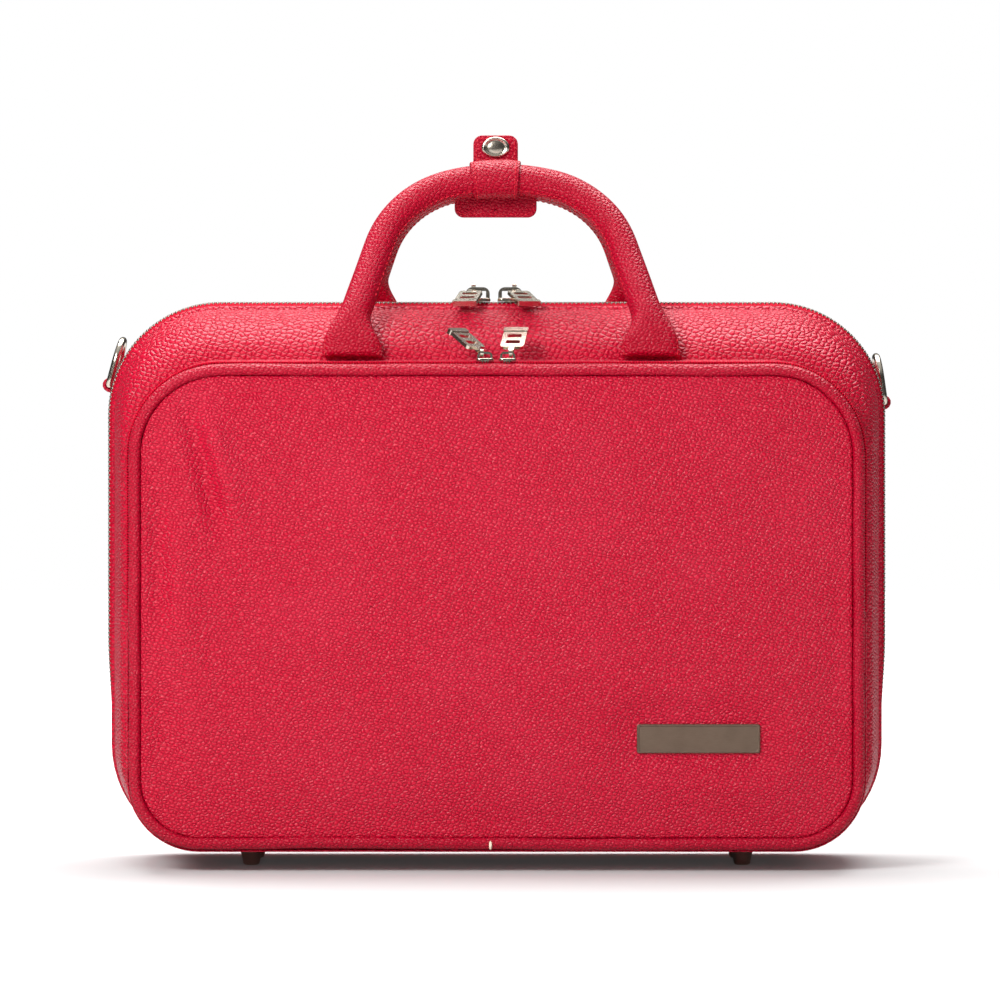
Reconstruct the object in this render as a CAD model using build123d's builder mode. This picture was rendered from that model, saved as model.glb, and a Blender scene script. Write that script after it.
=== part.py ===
from build123d import *
import os
from math import asin, atan2, cos, degrees, hypot, radians, sin, sqrt

os.makedirs("parts", exist_ok=True)

# An upright zipped oboe case: a base half at the back and a lid half in front, hinged along the bottom.
# X runs to the right, the front faces -Y, and the floor under the feet is Z = 0.

# Whole case, measured at the main zip
zip_width = 356.0
zip_top = 256.0
foot_height = 6.0
zip_corner = 52.0
lid_depth = 34.0
base_depth = 46.0

# Wall build-up, from the outside in
cover_t = 1.2
seam_t = 0.8
board_t = 5.0
lining_t = 1.0
lining_fit = 0.05
rim_gap = 0.2

# Leather edge beside the main zip
cover_drop = 3.8
cover_set_back = 7.0

# Stations of each half: distance from the zip plane, then how far the outline draws in
# at the sides, rises at the bottom and drops at the top
lid_shape = [(20.0, 2.2, 0.0, 6.0), (lid_depth, 6.2, 2.5, 21.2)]
base_shape = [(28.0, 0.8, 0.0, 1.5), (base_depth, 8.0, 4.0, 12.0)]

# Main zip
chain_gap = 1.5
chain_w = 2.0
chain_t = 2.4
chain_proud = 0.4
tape_t = 0.8
zip_end = 48.0
slide_fit = 0.25

# Front pocket
pocket_half = 163.8
pocket_low = 9.2
pocket_top = 226.0
pocket_top_r = 41.0
pocket_low_r = 32.0
gusset_t = 1.2
gusset_depth = 19.0
piping_r = 2.65
piping_inset = 3.4
piping_depth = 26.9
panel_t = 2.0
panel_fit = 0.05
flap_height = 115.0
split_gap = 0.3
coil_w = 1.2
coil_t = 1.5
coil_proud = 0.6
coil_gap = 1.4
coil_from_gusset = 2.8

# Rope handles and their keeper
grip_r = 6.9
crest_height = 311.0
crest_apart = 21.2
crest_r = 92.0
crest_half_angle = 15.0
shoulder_r = 45.0
leg_splay = 18.0
handle_offset = 2.0
foot_width = 27.0
foot_thick = 6.0
foot_rise = 20.0
foot_stem = 2.0
foot_lean = 0.3
front_foot_y = 38.5
front_foot_z = 231.8
rear_foot_y = 36.0
rear_foot_z = 251.8
keeper_x = -0.5
strap_width = 21.6
strap_t = 1.6
strap_fit = 0.05
sheet_t = 1.8
sheet_front = 1.9
pad_width = 37.5
pad_drop = 17.0
pad_height = 13.0
tab_width = 20.4
tab_rise = 8.6
tab_length = 12.0
tab_round = 4.0
hinge_fit = 0.25
snap_rise = 6.4
cap_width = 12.9
cap_height = 9.6
cap_t = 1.7
stud_r = 2.0
stud_fit = 1.2

# Hardware
foot_r = 5.0
foot_tip_r = 3.4
foot_from_side = 67.0
foot_y = 20.0
ring_bar = 22.0
ring_drop = 21.5
ring_wire = 1.6
ring_clear = 0.2
left_ring_z = 218.0
right_ring_z = 210.0
ring_y = 22.0
left_lean = 15.0
right_lean = 8.0
ring_tab_t = 1.6
ring_tab_w = 16.0
ring_tab_drop = 26.0
plate_x = 89.4
plate_z = 59.3
plate_w = 54.6
plate_h = 12.9
plate_t = 1.3

# Zip pulls
pull_w = 10.6
pull_t = 1.6
pull_neck = 4.4
pull_length = 20.0
pull_cap = 3.0

# Tray for the instrument
tray_fit = 0.2
tray_face = 3.0
joint_length = 252.0
joint_width = 36.0
bell_length = 124.0
bell_width = 46.0
well_depth = 26.0
pad_thick = 5.0

# Places worked out from the values above
foot_x = zip_width / 2 - foot_from_side
ring_off = zip_width / 2 + ring_clear
pad_low = crest_height - pad_drop
pad_high = pad_low + pad_height
tab_root = crest_height + tab_rise
tab_top = tab_root + tab_length
snap_height = tab_root + snap_rise
front_reach = lid_depth + piping_depth + piping_r
mate_y = (front_reach - base_depth) / 2
half = zip_width / 2
cover_half = half - cover_drop
cover_top = zip_top - cover_drop
cover_r = zip_corner - cover_drop
pocket_zip_y = lid_depth + gusset_depth + coil_from_gusset + coil_w + coil_gap / 2
piping_y = lid_depth + piping_depth


def face_at(depth):
    """A plane facing the front, the given distance in front of the zip plane."""
    return Plane.XZ.offset(depth - mate_y)


def outline(half_w, low, high, top_r, low_r):
    """An upright rounded outline, centred on the case."""
    with BuildSketch() as profile:
        with Locations((0, (low + high) / 2)):
            Rectangle(2 * half_w, high - low)
        fillet(profile.vertices().group_by(Axis.Y)[-1], top_r)
        fillet(profile.vertices().group_by(Axis.Y)[0], low_r)
    return profile.sketch


def case_outline(inset, side=0.0, rise=0.0, drop=0.0):
    """The leather edge's outline, drawn in by an inset and by one station's own values."""
    corner = cover_r - inset - side
    return outline(cover_half - inset - side, foot_height + inset + rise, cover_top - inset - drop, corner, corner)


def half_solid(shape, inset, rim, facing):
    """A filled half of the case; facing is 1 for the lid and -1 for the base."""
    edge = case_outline(inset)
    with BuildPart() as filled:
        for depth in ([rim, cover_set_back] if rim < cover_set_back else [rim]):
            with BuildSketch(face_at(facing * depth)):
                add(edge)
        for depth, side, rise, drop in shape:
            last = depth == shape[-1][0]
            with BuildSketch(face_at(facing * (depth - (inset if last else 0)))):
                add(case_outline(inset, side, rise, drop))
        loft()
    return filled.part


def zip_outline(inset):
    """The main zip's line, drawn in by an inset."""
    corner = zip_corner - inset
    return outline(half - inset, foot_height - cover_drop + inset, zip_top - inset, corner, corner)


def pocket_outline(inset):
    """The pocket's side wall, drawn in by an inset."""
    return outline(
        pocket_half - inset, pocket_low + inset, pocket_top - inset, pocket_top_r - inset, pocket_low_r - inset
    )


def band(outer, inner, start, end):
    """A ring between two outlines, from one depth in front of the zip plane to another."""
    with BuildPart() as ring:
        with BuildSketch(face_at(start)):
            add(outer)
            add(inner, mode=Mode.SUBTRACT)
        extrude(amount=end - start)
    return ring.part


def keep_above(height):
    """A large block over one height, to keep the upper part of a ring."""
    with BuildPart() as block:
        with BuildSketch(Plane.XY.offset(height)):
            Rectangle(2 * zip_width, 2 * zip_width)
        extrude(amount=zip_top)
    return block.part


def keep_below(height):
    """A large block under one height, to keep the lower part of a ring."""
    with BuildPart() as block:
        with BuildSketch(Plane.XY.offset(height)):
            Rectangle(2 * zip_width, 2 * zip_width)
        extrude(amount=-zip_top)
    return block.part


def finish(name, solid):
    """Label one piece and write it."""
    solid.label = name
    export_step(solid, f"parts/{name}.step")


# Shells of the two halves
lid_outer = half_solid(lid_shape, 0.0, cover_set_back, 1)
base_outer = half_solid(base_shape, 0.0, cover_set_back, -1)

with BuildPart() as lid_cover:
    add(lid_outer)
    add(half_solid(lid_shape, cover_t, cover_set_back, 1), mode=Mode.SUBTRACT)
finish("lid_cover", lid_cover.part)

with BuildPart() as base_cover:
    add(base_outer)
    add(half_solid(base_shape, cover_t, cover_set_back, -1), mode=Mode.SUBTRACT)
finish("base_cover", base_cover.part)

board_out = cover_t + seam_t
board_in = board_out + board_t

with BuildPart() as lid_board:
    add(half_solid(lid_shape, board_out, rim_gap, 1))
    add(half_solid(lid_shape, board_in, rim_gap, 1), mode=Mode.SUBTRACT)
finish("lid_board", lid_board.part)

with BuildPart() as base_board:
    add(half_solid(base_shape, board_out, rim_gap, -1))
    add(half_solid(base_shape, board_in, rim_gap, -1), mode=Mode.SUBTRACT)
finish("base_board", base_board.part)

lining_out = board_in + lining_fit
lining_in = lining_out + lining_t

with BuildPart() as lid_lining:
    add(half_solid(lid_shape, lining_out, rim_gap, 1))
    add(half_solid(lid_shape, lining_in, rim_gap, 1), mode=Mode.SUBTRACT)
finish("lid_lining", lid_lining.part)

with BuildPart() as base_lining:
    add(half_solid(base_shape, lining_out, rim_gap, -1))
    add(half_solid(base_shape, lining_in, rim_gap, -1), mode=Mode.SUBTRACT)
finish("base_lining", base_lining.part)

# Moulded tray in the base: two long wells for the body joints, one for the bell, two for reeds and tools
tray_inset = lining_in + tray_fit
tray_back = base_depth - lining_in - tray_fit
tray_depth = tray_back - tray_face
tray_side = tray_inset + base_shape[-1][1]
tray_low = foot_height + tray_inset + base_shape[-1][2]
tray_high = cover_top - tray_inset - base_shape[-1][3]
tray_half = cover_half - tray_side
tray_corner = cover_r - tray_side
well_gap = 9.0
upper_z = tray_high - well_gap - joint_width / 2
lower_z = upper_z - joint_width - well_gap
bell_z = lower_z - joint_width / 2 - well_gap - bell_width / 2
bell_x = -tray_half + 3 * well_gap + bell_length / 2
reed_x = bell_x + bell_length / 2 + 2 * well_gap + bell_width
tool_z = bell_z - bell_width - well_gap
tool_w = 2 * tray_half - 8 * well_gap

with BuildPart() as foam_tray:
    with BuildSketch(face_at(-tray_face)):
        add(outline(tray_half, tray_low, tray_high, tray_corner, tray_corner))
    extrude(amount=-tray_depth)
    with BuildSketch(face_at(-tray_face)):
        with Locations((0, upper_z), (0, lower_z)):
            SlotOverall(joint_length, joint_width)
        with Locations((bell_x, bell_z)):
            RectangleRounded(bell_length, bell_width, 9)
        with Locations((reed_x, bell_z)):
            RectangleRounded(2 * bell_width, bell_width, 6)
    extrude(amount=-well_depth, mode=Mode.SUBTRACT)
    with BuildSketch(face_at(-tray_face)):
        with Locations((0, tool_z)):
            RectangleRounded(tool_w, bell_width * 0.8, 8)
    extrude(amount=-well_depth, mode=Mode.SUBTRACT)
finish("foam_tray", foam_tray.part)

lid_pad_side = lining_in + tray_fit + lid_shape[-1][1]
with BuildPart() as lid_pad:
    pad_front = lid_depth - lining_in - tray_fit
    pad_low_z = foot_height + lining_in + tray_fit + lid_shape[-1][2]
    pad_high_z = cover_top - lining_in - tray_fit - lid_shape[-1][3]
    pad_corner = cover_r - lid_pad_side
    with BuildSketch(face_at(pad_front)):
        add(outline(cover_half - lid_pad_side, pad_low_z, pad_high_z, pad_corner, pad_corner))
    extrude(amount=-pad_thick)
    fillet(lid_pad.faces().sort_by(Axis.Y)[-1].edges(), pad_thick / 2)
finish("lid_pad", lid_pad.part)

# Hinge: the leather runs on under the zip's lower end and folds along the bottom
hinge_cut = keep_below(zip_end - split_gap)
hinge_ring_out = case_outline(0.0)
hinge_ring_in = case_outline(cover_t)
leaf_gap = rim_gap

with BuildPart() as lid_hinge_leaf:
    add(band(hinge_ring_out, hinge_ring_in, leaf_gap, cover_set_back))
    add(hinge_cut, mode=Mode.INTERSECT)
finish("lid_hinge_leaf", lid_hinge_leaf.part)

with BuildPart() as base_hinge_leaf:
    add(band(hinge_ring_out, hinge_ring_in, -cover_set_back, -leaf_gap))
    add(hinge_cut, mode=Mode.INTERSECT)
finish("base_hinge_leaf", base_hinge_leaf.part)

# Main zip: a row of teeth on each half's tape, over the top and down both sides
zip_keep = keep_above(zip_end)
chain_in = chain_gap / 2
chain_out = chain_in + chain_w
chain_inset = chain_proud
tape_inset = chain_inset + (chain_t - tape_t) / 2


def zip_chain(facing):
    """One row of teeth as a plain rail along the zip's line."""
    ends = sorted([facing * chain_in, facing * chain_out])
    return band(zip_outline(chain_inset), zip_outline(chain_inset + chain_t), *ends)


def zip_tape(facing):
    """The tape, sloping from the teeth down to the leather edge."""
    with BuildPart() as tape:
        with BuildSketch(face_at(facing * chain_out)):
            add(zip_outline(tape_inset))
        with BuildSketch(face_at(facing * (cover_set_back - lining_fit))):
            add(zip_outline(cover_drop))
        loft(ruled=True)
    with BuildPart() as hollow:
        with BuildSketch(face_at(facing * chain_out)):
            add(zip_outline(tape_inset + tape_t))
        with BuildSketch(face_at(facing * (cover_set_back - lining_fit))):
            add(zip_outline(cover_drop + tape_t))
        loft(ruled=True)
    return tape.part, hollow.part


with BuildPart() as lid_zip_chain:
    add(zip_chain(1))
    add(zip_keep, mode=Mode.INTERSECT)
finish("lid_zip_chain", lid_zip_chain.part)

with BuildPart() as base_zip_chain:
    add(zip_chain(-1))
    add(zip_keep, mode=Mode.INTERSECT)
finish("base_zip_chain", base_zip_chain.part)

lid_tape, lid_tape_hollow = zip_tape(1)
with BuildPart() as lid_zip_tape:
    add(lid_tape)
    add(lid_tape_hollow, mode=Mode.SUBTRACT)
    add(zip_keep, mode=Mode.INTERSECT)
finish("lid_zip_tape", lid_zip_tape.part)

base_tape, base_tape_hollow = zip_tape(-1)
with BuildPart() as base_zip_tape:
    add(base_tape)
    add(base_tape_hollow, mode=Mode.SUBTRACT)
    add(zip_keep, mode=Mode.INTERSECT)
finish("base_zip_tape", base_zip_tape.part)

# Pocket: a side wall on the lid, a zip round its upper part and a panel edged with piping
flap_keep = keep_above(flap_height + split_gap / 2)
lower_keep = keep_below(flap_height - split_gap / 2)
gusset_end = lid_depth + gusset_depth
gusset_lip = piping_y - sqrt(piping_r**2 - (piping_inset - gusset_t) ** 2) - panel_fit
panel_back = piping_y + piping_r / 2 - panel_t
coil_rear = gusset_end + coil_from_gusset
coil_front = coil_rear + coil_w + coil_gap

with BuildPart() as pocket_gusset:
    add(band(pocket_outline(0), pocket_outline(gusset_t), lid_depth, gusset_end))
    with BuildPart(mode=Mode.PRIVATE) as gusset_lower:
        add(band(pocket_outline(0), pocket_outline(gusset_t), gusset_end, gusset_lip))
        add(lower_keep, mode=Mode.INTERSECT)
    add(gusset_lower.part)
finish("pocket_gusset", pocket_gusset.part)

with BuildPart() as pocket_rear_tape:
    add(band(pocket_outline(0.2), pocket_outline(0.2 + tape_t), gusset_end, coil_rear))
    add(flap_keep, mode=Mode.INTERSECT)
finish("pocket_rear_tape", pocket_rear_tape.part)

with BuildPart() as pocket_rear_coil:
    add(band(pocket_outline(-coil_proud), pocket_outline(coil_t - coil_proud), coil_rear, coil_rear + coil_w))
    add(flap_keep, mode=Mode.INTERSECT)
finish("pocket_rear_coil", pocket_rear_coil.part)

with BuildPart() as pocket_front_coil:
    add(band(pocket_outline(-coil_proud), pocket_outline(coil_t - coil_proud), coil_front, coil_front + coil_w))
    add(flap_keep, mode=Mode.INTERSECT)
finish("pocket_front_coil", pocket_front_coil.part)

with BuildSketch(face_at(piping_y)) as piping_line:
    add(pocket_outline(piping_inset))
piping_path = piping_line.sketch.face().outer_wire()

with BuildPart() as piping_ring:
    with BuildSketch(Plane(piping_path @ 0, z_dir=piping_path % 0)):
        Circle(piping_r)
    sweep(path=piping_path)

with BuildPart() as piping_lower:
    add(piping_ring.part)
    add(lower_keep, mode=Mode.INTERSECT)
finish("piping_lower", piping_lower.part)

with BuildPart() as piping_upper:
    add(piping_ring.part)
    add(flap_keep, mode=Mode.INTERSECT)
finish("piping_upper", piping_upper.part)

with BuildPart() as panel_whole:
    with BuildSketch(face_at(panel_back)):
        add(pocket_outline(piping_inset + piping_r + panel_fit))
    extrude(amount=panel_t)

with BuildPart() as pocket_panel_lower:
    add(panel_whole.part)
    add(lower_keep, mode=Mode.INTERSECT)
finish("pocket_panel_lower", pocket_panel_lower.part)

with BuildPart() as pocket_panel_upper:
    add(panel_whole.part)
    add(flap_keep, mode=Mode.INTERSECT)
finish("pocket_panel_upper", pocket_panel_upper.part)

with BuildPart() as nameplate:
    with BuildSketch(face_at(panel_back + panel_t)):
        with Locations((plate_x, plate_z)):
            Rectangle(plate_w, plate_h)
    extrude(amount=plate_t)
    chamfer(nameplate.faces().sort_by(Axis.Y)[0].edges(), plate_t / 2)
finish("nameplate", nameplate.part)

# Feet: tapered domes under both halves
def foot_at(place_y, shell):
    """Two feet under one half, seated on its cover."""
    with BuildPart() as feet:
        for side in (-1, 1):
            with BuildSketch(Plane(origin=(side * foot_x, mate_y + place_y, 0), x_dir=(1, 0, 0), z_dir=(0, -1, 0))):
                with BuildLine():
                    Polyline((0, foot_height + 1), (0, 0), (foot_tip_r - 1, 0))
                    ThreePointArc((foot_tip_r - 1, 0), (foot_tip_r, 0.4), (foot_tip_r + 0.4, 1.4))
                    Polyline((foot_tip_r + 0.4, 1.4), (foot_r, foot_height + 1), (0, foot_height + 1))
                make_face()
            revolve(axis=Axis((side * foot_x, mate_y + place_y, 0), (0, 0, 1)))
        add(shell, mode=Mode.SUBTRACT)
    return feet.part


finish("lid_feet", foot_at(-foot_y, lid_outer))
finish("base_feet", foot_at(foot_y, base_outer))


# Zip sliders: two plates joined by a post between the rows of teeth, with an arch for the pull
def slider(center_x, center_y, teeth_top, teeth_t, gap, width, length, top_t, low_t, low_front, arch):
    """A slider on a straight run of zip; low_front is how far its lower plate reaches forward."""
    span, rise, bar, depth = arch
    plate_z0 = teeth_top + slide_fit
    plate_z1 = plate_z0 + top_t
    low_z = teeth_top - teeth_t - slide_fit
    place = (center_x, mate_y + center_y)
    with BuildPart() as body:
        with BuildSketch(Plane.XY.offset(plate_z0)):
            with Locations(place):
                RectangleRounded(length, width, width * 0.3)
        extrude(amount=top_t)
        fillet(body.faces().sort_by(Axis.Z)[-1].edges(), top_t * 0.45)
        with BuildSketch(Plane.XY.offset(low_z)):
            with Locations((place[0], place[1] + (width / 2 - low_front) / 2)):
                Rectangle(length * 0.8, width / 2 + low_front)
        extrude(amount=-low_t)
        with BuildSketch(Plane.XY.offset(low_z - low_t / 2)):
            with Locations(place):
                Rectangle(length * 0.45, gap)
        extrude(amount=plate_z0 + top_t / 2 - low_z + low_t / 2)
        with BuildSketch(Plane.XZ.offset(-place[1] - depth / 2)):
            with Locations((place[0], plate_z1 + (rise + bar) / 2 - top_t * 0.25)):
                Rectangle(span + 2 * bar, rise + bar + top_t * 0.5)
        extrude(amount=depth)
        fillet(body.edges().filter_by(Axis.Y).group_by(Axis.Z)[-1], bar * 1.8)
        with BuildSketch(Plane.XZ.offset(-place[1] - depth)):
            with Locations((place[0], plate_z1 + rise / 2)):
                Rectangle(span, rise)
        extrude(amount=2 * depth, mode=Mode.SUBTRACT)
    return body.part


def pull(eye, yaw, pitch, backward, hole_r, eye_r, eye_w):
    """A slotted tab on a cast eye; the eye goes round the slider's arch, along X."""
    lean = 1 if backward else -1
    along = Vector(sin(radians(yaw)), lean * cos(radians(yaw)) * cos(radians(pitch)), sin(radians(pitch)))
    across = Vector(0, 0, 1).cross(along)
    tab = Plane(origin=eye, x_dir=along, z_dir=along.cross(across))
    frame_end = pull_length - pull_cap
    frame_mid = (pull_neck + frame_end) / 2
    slot_w = pull_w - 2.5 * pull_t
    eye_mid = (hole_r + eye_r) / 2
    with BuildPart() as whole:
        with BuildSketch(Plane(origin=eye, z_dir=(1, 0, 0)).offset(-eye_w / 2)):
            Circle(eye_r)
        extrude(amount=eye_w)
        with BuildSketch(tab.offset(-pull_t / 2)):
            with Locations(((eye_mid + pull_neck + pull_t) / 2, 0)):
                Rectangle(pull_neck + pull_t - eye_mid, 1.6 * eye_w)
            with Locations(((pull_neck + pull_length) / 2 - 0.2, 0)):
                RectangleRounded(pull_length - pull_neck, pull_w, 1.4)
        extrude(amount=pull_t)
        with BuildSketch(tab.offset(-pull_t)):
            with Locations((frame_mid - 2.6, 0), (frame_mid + 2.6, 0)):
                RectangleRounded(2.6, slot_w, 0.9)
        extrude(amount=2 * pull_t, mode=Mode.SUBTRACT)
        with BuildSketch(tab.offset(-pull_t * 0.75)):
            with Locations((pull_length - pull_cap / 2, 0)):
                RectangleRounded(pull_cap, pull_w + 0.6, 0.8)
        extrude(amount=pull_t * 1.5)
        with BuildSketch(Plane(origin=eye, z_dir=(1, 0, 0)).offset(-eye_w)):
            Circle(hole_r)
        extrude(amount=2 * eye_w, mode=Mode.SUBTRACT)
    return whole.part


# Each arch is its span, rise, bar and depth; each eye is its hole's radius, outer radius and width
main_arch = (7.6, 3.3, 1.7, 1.7)
main_eye = (1.55, 2.7, 2.0)
main_slider_x = (-8.7, 6.2)
main_slider_l = 11.6
main_slider_w = 8.0
main_low_t = 1.0
main_post_fit = 0.35
main_eye_x = 1.9
main_yaw = (-12.0, 20.0)
main_pitch = -22.0
main_top_t = 1.4
main_teeth_top = zip_top - chain_proud
main_bar_z = main_teeth_top + slide_fit + main_top_t + main_arch[1] + main_arch[2] / 2

pocket_arch = (4.6, 1.9, 1.1, 1.1)
pocket_eye = (1.1, 1.75, 1.5)
pocket_slider_x = (-5.2, 4.9)
pocket_slider_l = 8.0
pocket_slider_w = 6.8
pocket_low_t = 0.7
pocket_low_front = 0.2
pocket_post_fit = 0.3
pocket_eye_x = 1.3
pocket_yaw = (-38.0, 8.0)
pocket_pitch = 34.0
pocket_top_t = 1.0
pocket_teeth_top = pocket_top + coil_proud
pocket_bar_z = pocket_teeth_top + slide_fit + pocket_top_t + pocket_arch[1] + pocket_arch[2] / 2

for number, name in enumerate(("left", "right")):
    out = (-1, 1)[number]
    main = slider(
        main_slider_x[number], 0, main_teeth_top, chain_t, chain_gap - 2 * main_post_fit, main_slider_w,
        main_slider_l, main_top_t, main_low_t, main_slider_w / 2, main_arch,
    )
    finish(f"main_slider_{name}", main)
    eye = (main_slider_x[number] + out * main_eye_x, mate_y, main_bar_z)
    finish(f"main_pull_{name}", pull(eye, main_yaw[number], main_pitch, False, *main_eye))
    small = slider(
        pocket_slider_x[number], -pocket_zip_y, pocket_teeth_top, coil_t, coil_gap - 2 * pocket_post_fit,
        pocket_slider_w, pocket_slider_l, pocket_top_t, pocket_low_t, pocket_low_front, pocket_arch,
    )
    finish(f"pocket_slider_{name}", small)
    eye = (pocket_slider_x[number] + out * pocket_eye_x, mate_y - pocket_zip_y, pocket_bar_z)
    finish(f"pocket_pull_{name}", pull(eye, pocket_yaw[number], pocket_pitch, True, *pocket_eye))


# Rope handles: a leather-covered grip on two flared feet
class Handle:
    """Where one handle's plane stands and how its centreline runs in that plane."""

    def __init__(self, foot_y_local, foot_z, lean_back):
        self.reach = abs(foot_y_local) - crest_apart / 2
        self.rise = crest_height - foot_z
        self.crest = hypot(self.reach, self.rise)
        tilt = atan2(self.reach, self.rise)
        up = Vector(0, lean_back * sin(tilt), cos(tilt))
        self.plane = Plane(
            origin=(handle_offset, mate_y + foot_y_local, foot_z), x_dir=(1, 0, 0), z_dir=Vector(1, 0, 0).cross(up)
        )
        self.center = self.crest - crest_r
        turn = radians(crest_half_angle)
        self.shoulder = ((crest_r - shoulder_r) * sin(turn), self.center + (crest_r - shoulder_r) * cos(turn))
        splay = radians(leg_splay)
        self.leg_top = (self.shoulder[0] + shoulder_r * cos(splay), self.shoulder[1] + shoulder_r * sin(splay))
        length = (self.leg_top[1] - foot_rise) / cos(splay)
        self.leg_end = (self.leg_top[0] + length * sin(splay), foot_rise)
        self.foot_x = self.leg_end[0] + foot_rise * sin(splay) * foot_lean


def grip(handle):
    """The round grip, along tangent arcs from one foot to the other."""
    cx, cy = handle.shoulder
    top, end = handle.leg_top, handle.leg_end
    with BuildPart() as tube:
        with BuildLine(handle.plane) as line:
            Line((-end[0], end[1]), (-top[0], top[1]))
            CenterArc((-cx, cy), shoulder_r, 180 - leg_splay, leg_splay + crest_half_angle - 90)
            CenterArc((0, handle.center), crest_r, 90 + crest_half_angle, -2 * crest_half_angle)
            CenterArc((cx, cy), shoulder_r, 90 - crest_half_angle, leg_splay + crest_half_angle - 90)
            Line(top, end)
        path = line.wire()
        with BuildSketch(Plane(path @ 0, z_dir=path % 0)):
            Circle(grip_r)
        sweep(path=path)
    return tube.part


def handle_feet(handle):
    """Both feet: each flares from the grip to a flat end that is round along its hinge line."""
    plane = handle.plane
    splay = radians(leg_splay)
    with BuildPart() as feet:
        for side in (-1, 1):
            end = plane.from_local_coords((side * handle.leg_end[0], handle.leg_end[1], 0))
            down = plane.from_local_coords(Vector(side * sin(splay), -cos(splay), 0)) - plane.origin
            base = plane.from_local_coords((side * handle.foot_x, foot_stem, 0))
            low = plane.from_local_coords((side * handle.foot_x, 0, 0))
            with BuildSketch(Plane(origin=end, x_dir=plane.z_dir.cross(down), z_dir=down)):
                Circle(grip_r)
            with BuildSketch(Plane(origin=base, x_dir=(1, 0, 0), z_dir=-plane.y_dir)):
                SlotOverall(foot_width, foot_thick)
            loft()
            with BuildSketch(Plane(origin=base, x_dir=(1, 0, 0), z_dir=-plane.y_dir)):
                SlotOverall(foot_width, foot_thick)
            extrude(amount=foot_stem)
            with BuildSketch(Plane(origin=low, z_dir=(1, 0, 0)).offset(-foot_width / 2 + foot_thick / 2)):
                Circle(foot_thick / 2)
            extrude(amount=foot_width - foot_thick)
    return feet.part


front = Handle(-front_foot_y, front_foot_z, 1)
rear = Handle(rear_foot_y, rear_foot_z, -1)
finish("front_grip", grip(front))
finish("front_handle_feet", handle_feet(front))
finish("rear_grip", grip(rear))
finish("rear_handle_feet", handle_feet(rear))


def strap_round(handle):
    """A short leather sleeve round the crest of a handle's grip."""
    offset = degrees(asin((keeper_x - handle_offset) / crest_r))
    half_turn = degrees(strap_width / 2 / crest_r)
    with BuildPart() as sleeve:
        with BuildLine(handle.plane) as line:
            CenterArc((0, handle.center), crest_r, 90 - offset + half_turn, -2 * half_turn)
        path = line.wire()
        with BuildSketch(Plane(path @ 0, z_dir=path % 0)):
            Circle(grip_r + strap_fit + strap_t)
            Circle(grip_r + strap_fit, mode=Mode.SUBTRACT)
        sweep(path=path)
    return sleeve.part


# Keeper: a sleeve on each handle, and two upright leather sheets between them that snap together
sheet_back = sheet_front - sheet_t
rear_sheet_y = sheet_back + 2 * slide_fit + 0.2
riser_top = tab_root - sheet_t / 2 - hinge_fit
finish("keeper_strap", strap_round(front))

with BuildPart() as keeper_sheet:
    with BuildSketch(face_at(sheet_back)):
        with Locations((keeper_x, (pad_low + pad_high) / 2)):
            RectangleRounded(pad_width, pad_high - pad_low, 4)
        with Locations((keeper_x, (pad_low + 6 + riser_top) / 2)):
            Rectangle(tab_width, riser_top - pad_low - 6)
    extrude(amount=sheet_t)
finish("keeper_sheet", keeper_sheet.part)

with BuildPart() as snap_tab:
    with BuildSketch(face_at(sheet_back)) as tab_sketch:
        with Locations((keeper_x, (tab_root + tab_top) / 2)):
            Rectangle(tab_width, tab_top - tab_root)
        fillet(tab_sketch.vertices().group_by(Axis.Y)[-1], tab_round)
    extrude(amount=sheet_t)
    with BuildSketch(Plane.YZ.offset(keeper_x - tab_width / 2)):
        with Locations((mate_y - sheet_back - sheet_t / 2, tab_root)):
            Circle(sheet_t / 2)
    extrude(amount=tab_width)
    with BuildSketch(face_at(sheet_back)):
        with Locations((keeper_x, snap_height)):
            Circle(stud_r + stud_fit)
    extrude(amount=sheet_t * 0.7, mode=Mode.SUBTRACT)
finish("snap_tab", snap_tab.part)

with BuildPart() as snap_cap:
    with BuildSketch(face_at(sheet_front)):
        with Locations((keeper_x, snap_height)):
            Ellipse(cap_width / 2, cap_height / 2)
    extrude(amount=cap_t)
    fillet(snap_cap.faces().sort_by(Axis.Y)[0].edges(), cap_t * 0.6)
finish("snap_cap", snap_cap.part)

with BuildPart() as rear_keeper:
    add(strap_round(rear))
    with BuildSketch(face_at(-rear_sheet_y - sheet_t * 0.8)) as rear_sketch:
        with Locations((keeper_x, (pad_low + 6 + tab_top) / 2)):
            Rectangle(tab_width, tab_top - pad_low - 6)
        fillet(rear_sketch.vertices().group_by(Axis.Y)[-1], tab_round)
    extrude(amount=sheet_t * 0.8)
    with BuildPart(mode=Mode.PRIVATE) as rear_rope:
        add(grip(rear))
    add(rear_rope.part, mode=Mode.SUBTRACT)
finish("rear_keeper", rear_keeper.part)

with BuildPart() as snap_stud:
    with BuildSketch(face_at(-rear_sheet_y)):
        with Locations((keeper_x, snap_height)):
            Circle(stud_r)
    extrude(amount=rear_sheet_y + sheet_back + sheet_t * 0.45)
    fillet(snap_stud.faces().sort_by(Axis.Y)[0].edges(), 0.5)
finish("snap_stud", snap_stud.part)


# Leather patches that carry the handles' feet
def patches(handle, start_y, end_y, low, high, shell):
    """Two small patches under one handle's feet, cut to the cover."""
    with BuildPart() as pair:
        with BuildSketch(Plane.XY.offset(low)):
            with Locations(
                (handle_offset - handle.foot_x, mate_y + (start_y + end_y) / 2),
                (handle_offset + handle.foot_x, mate_y + (start_y + end_y) / 2),
            ):
                Rectangle(foot_width + 2, abs(end_y - start_y))
        extrude(amount=high - low)
        add(shell, mode=Mode.SUBTRACT)
    return pair.part


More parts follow.
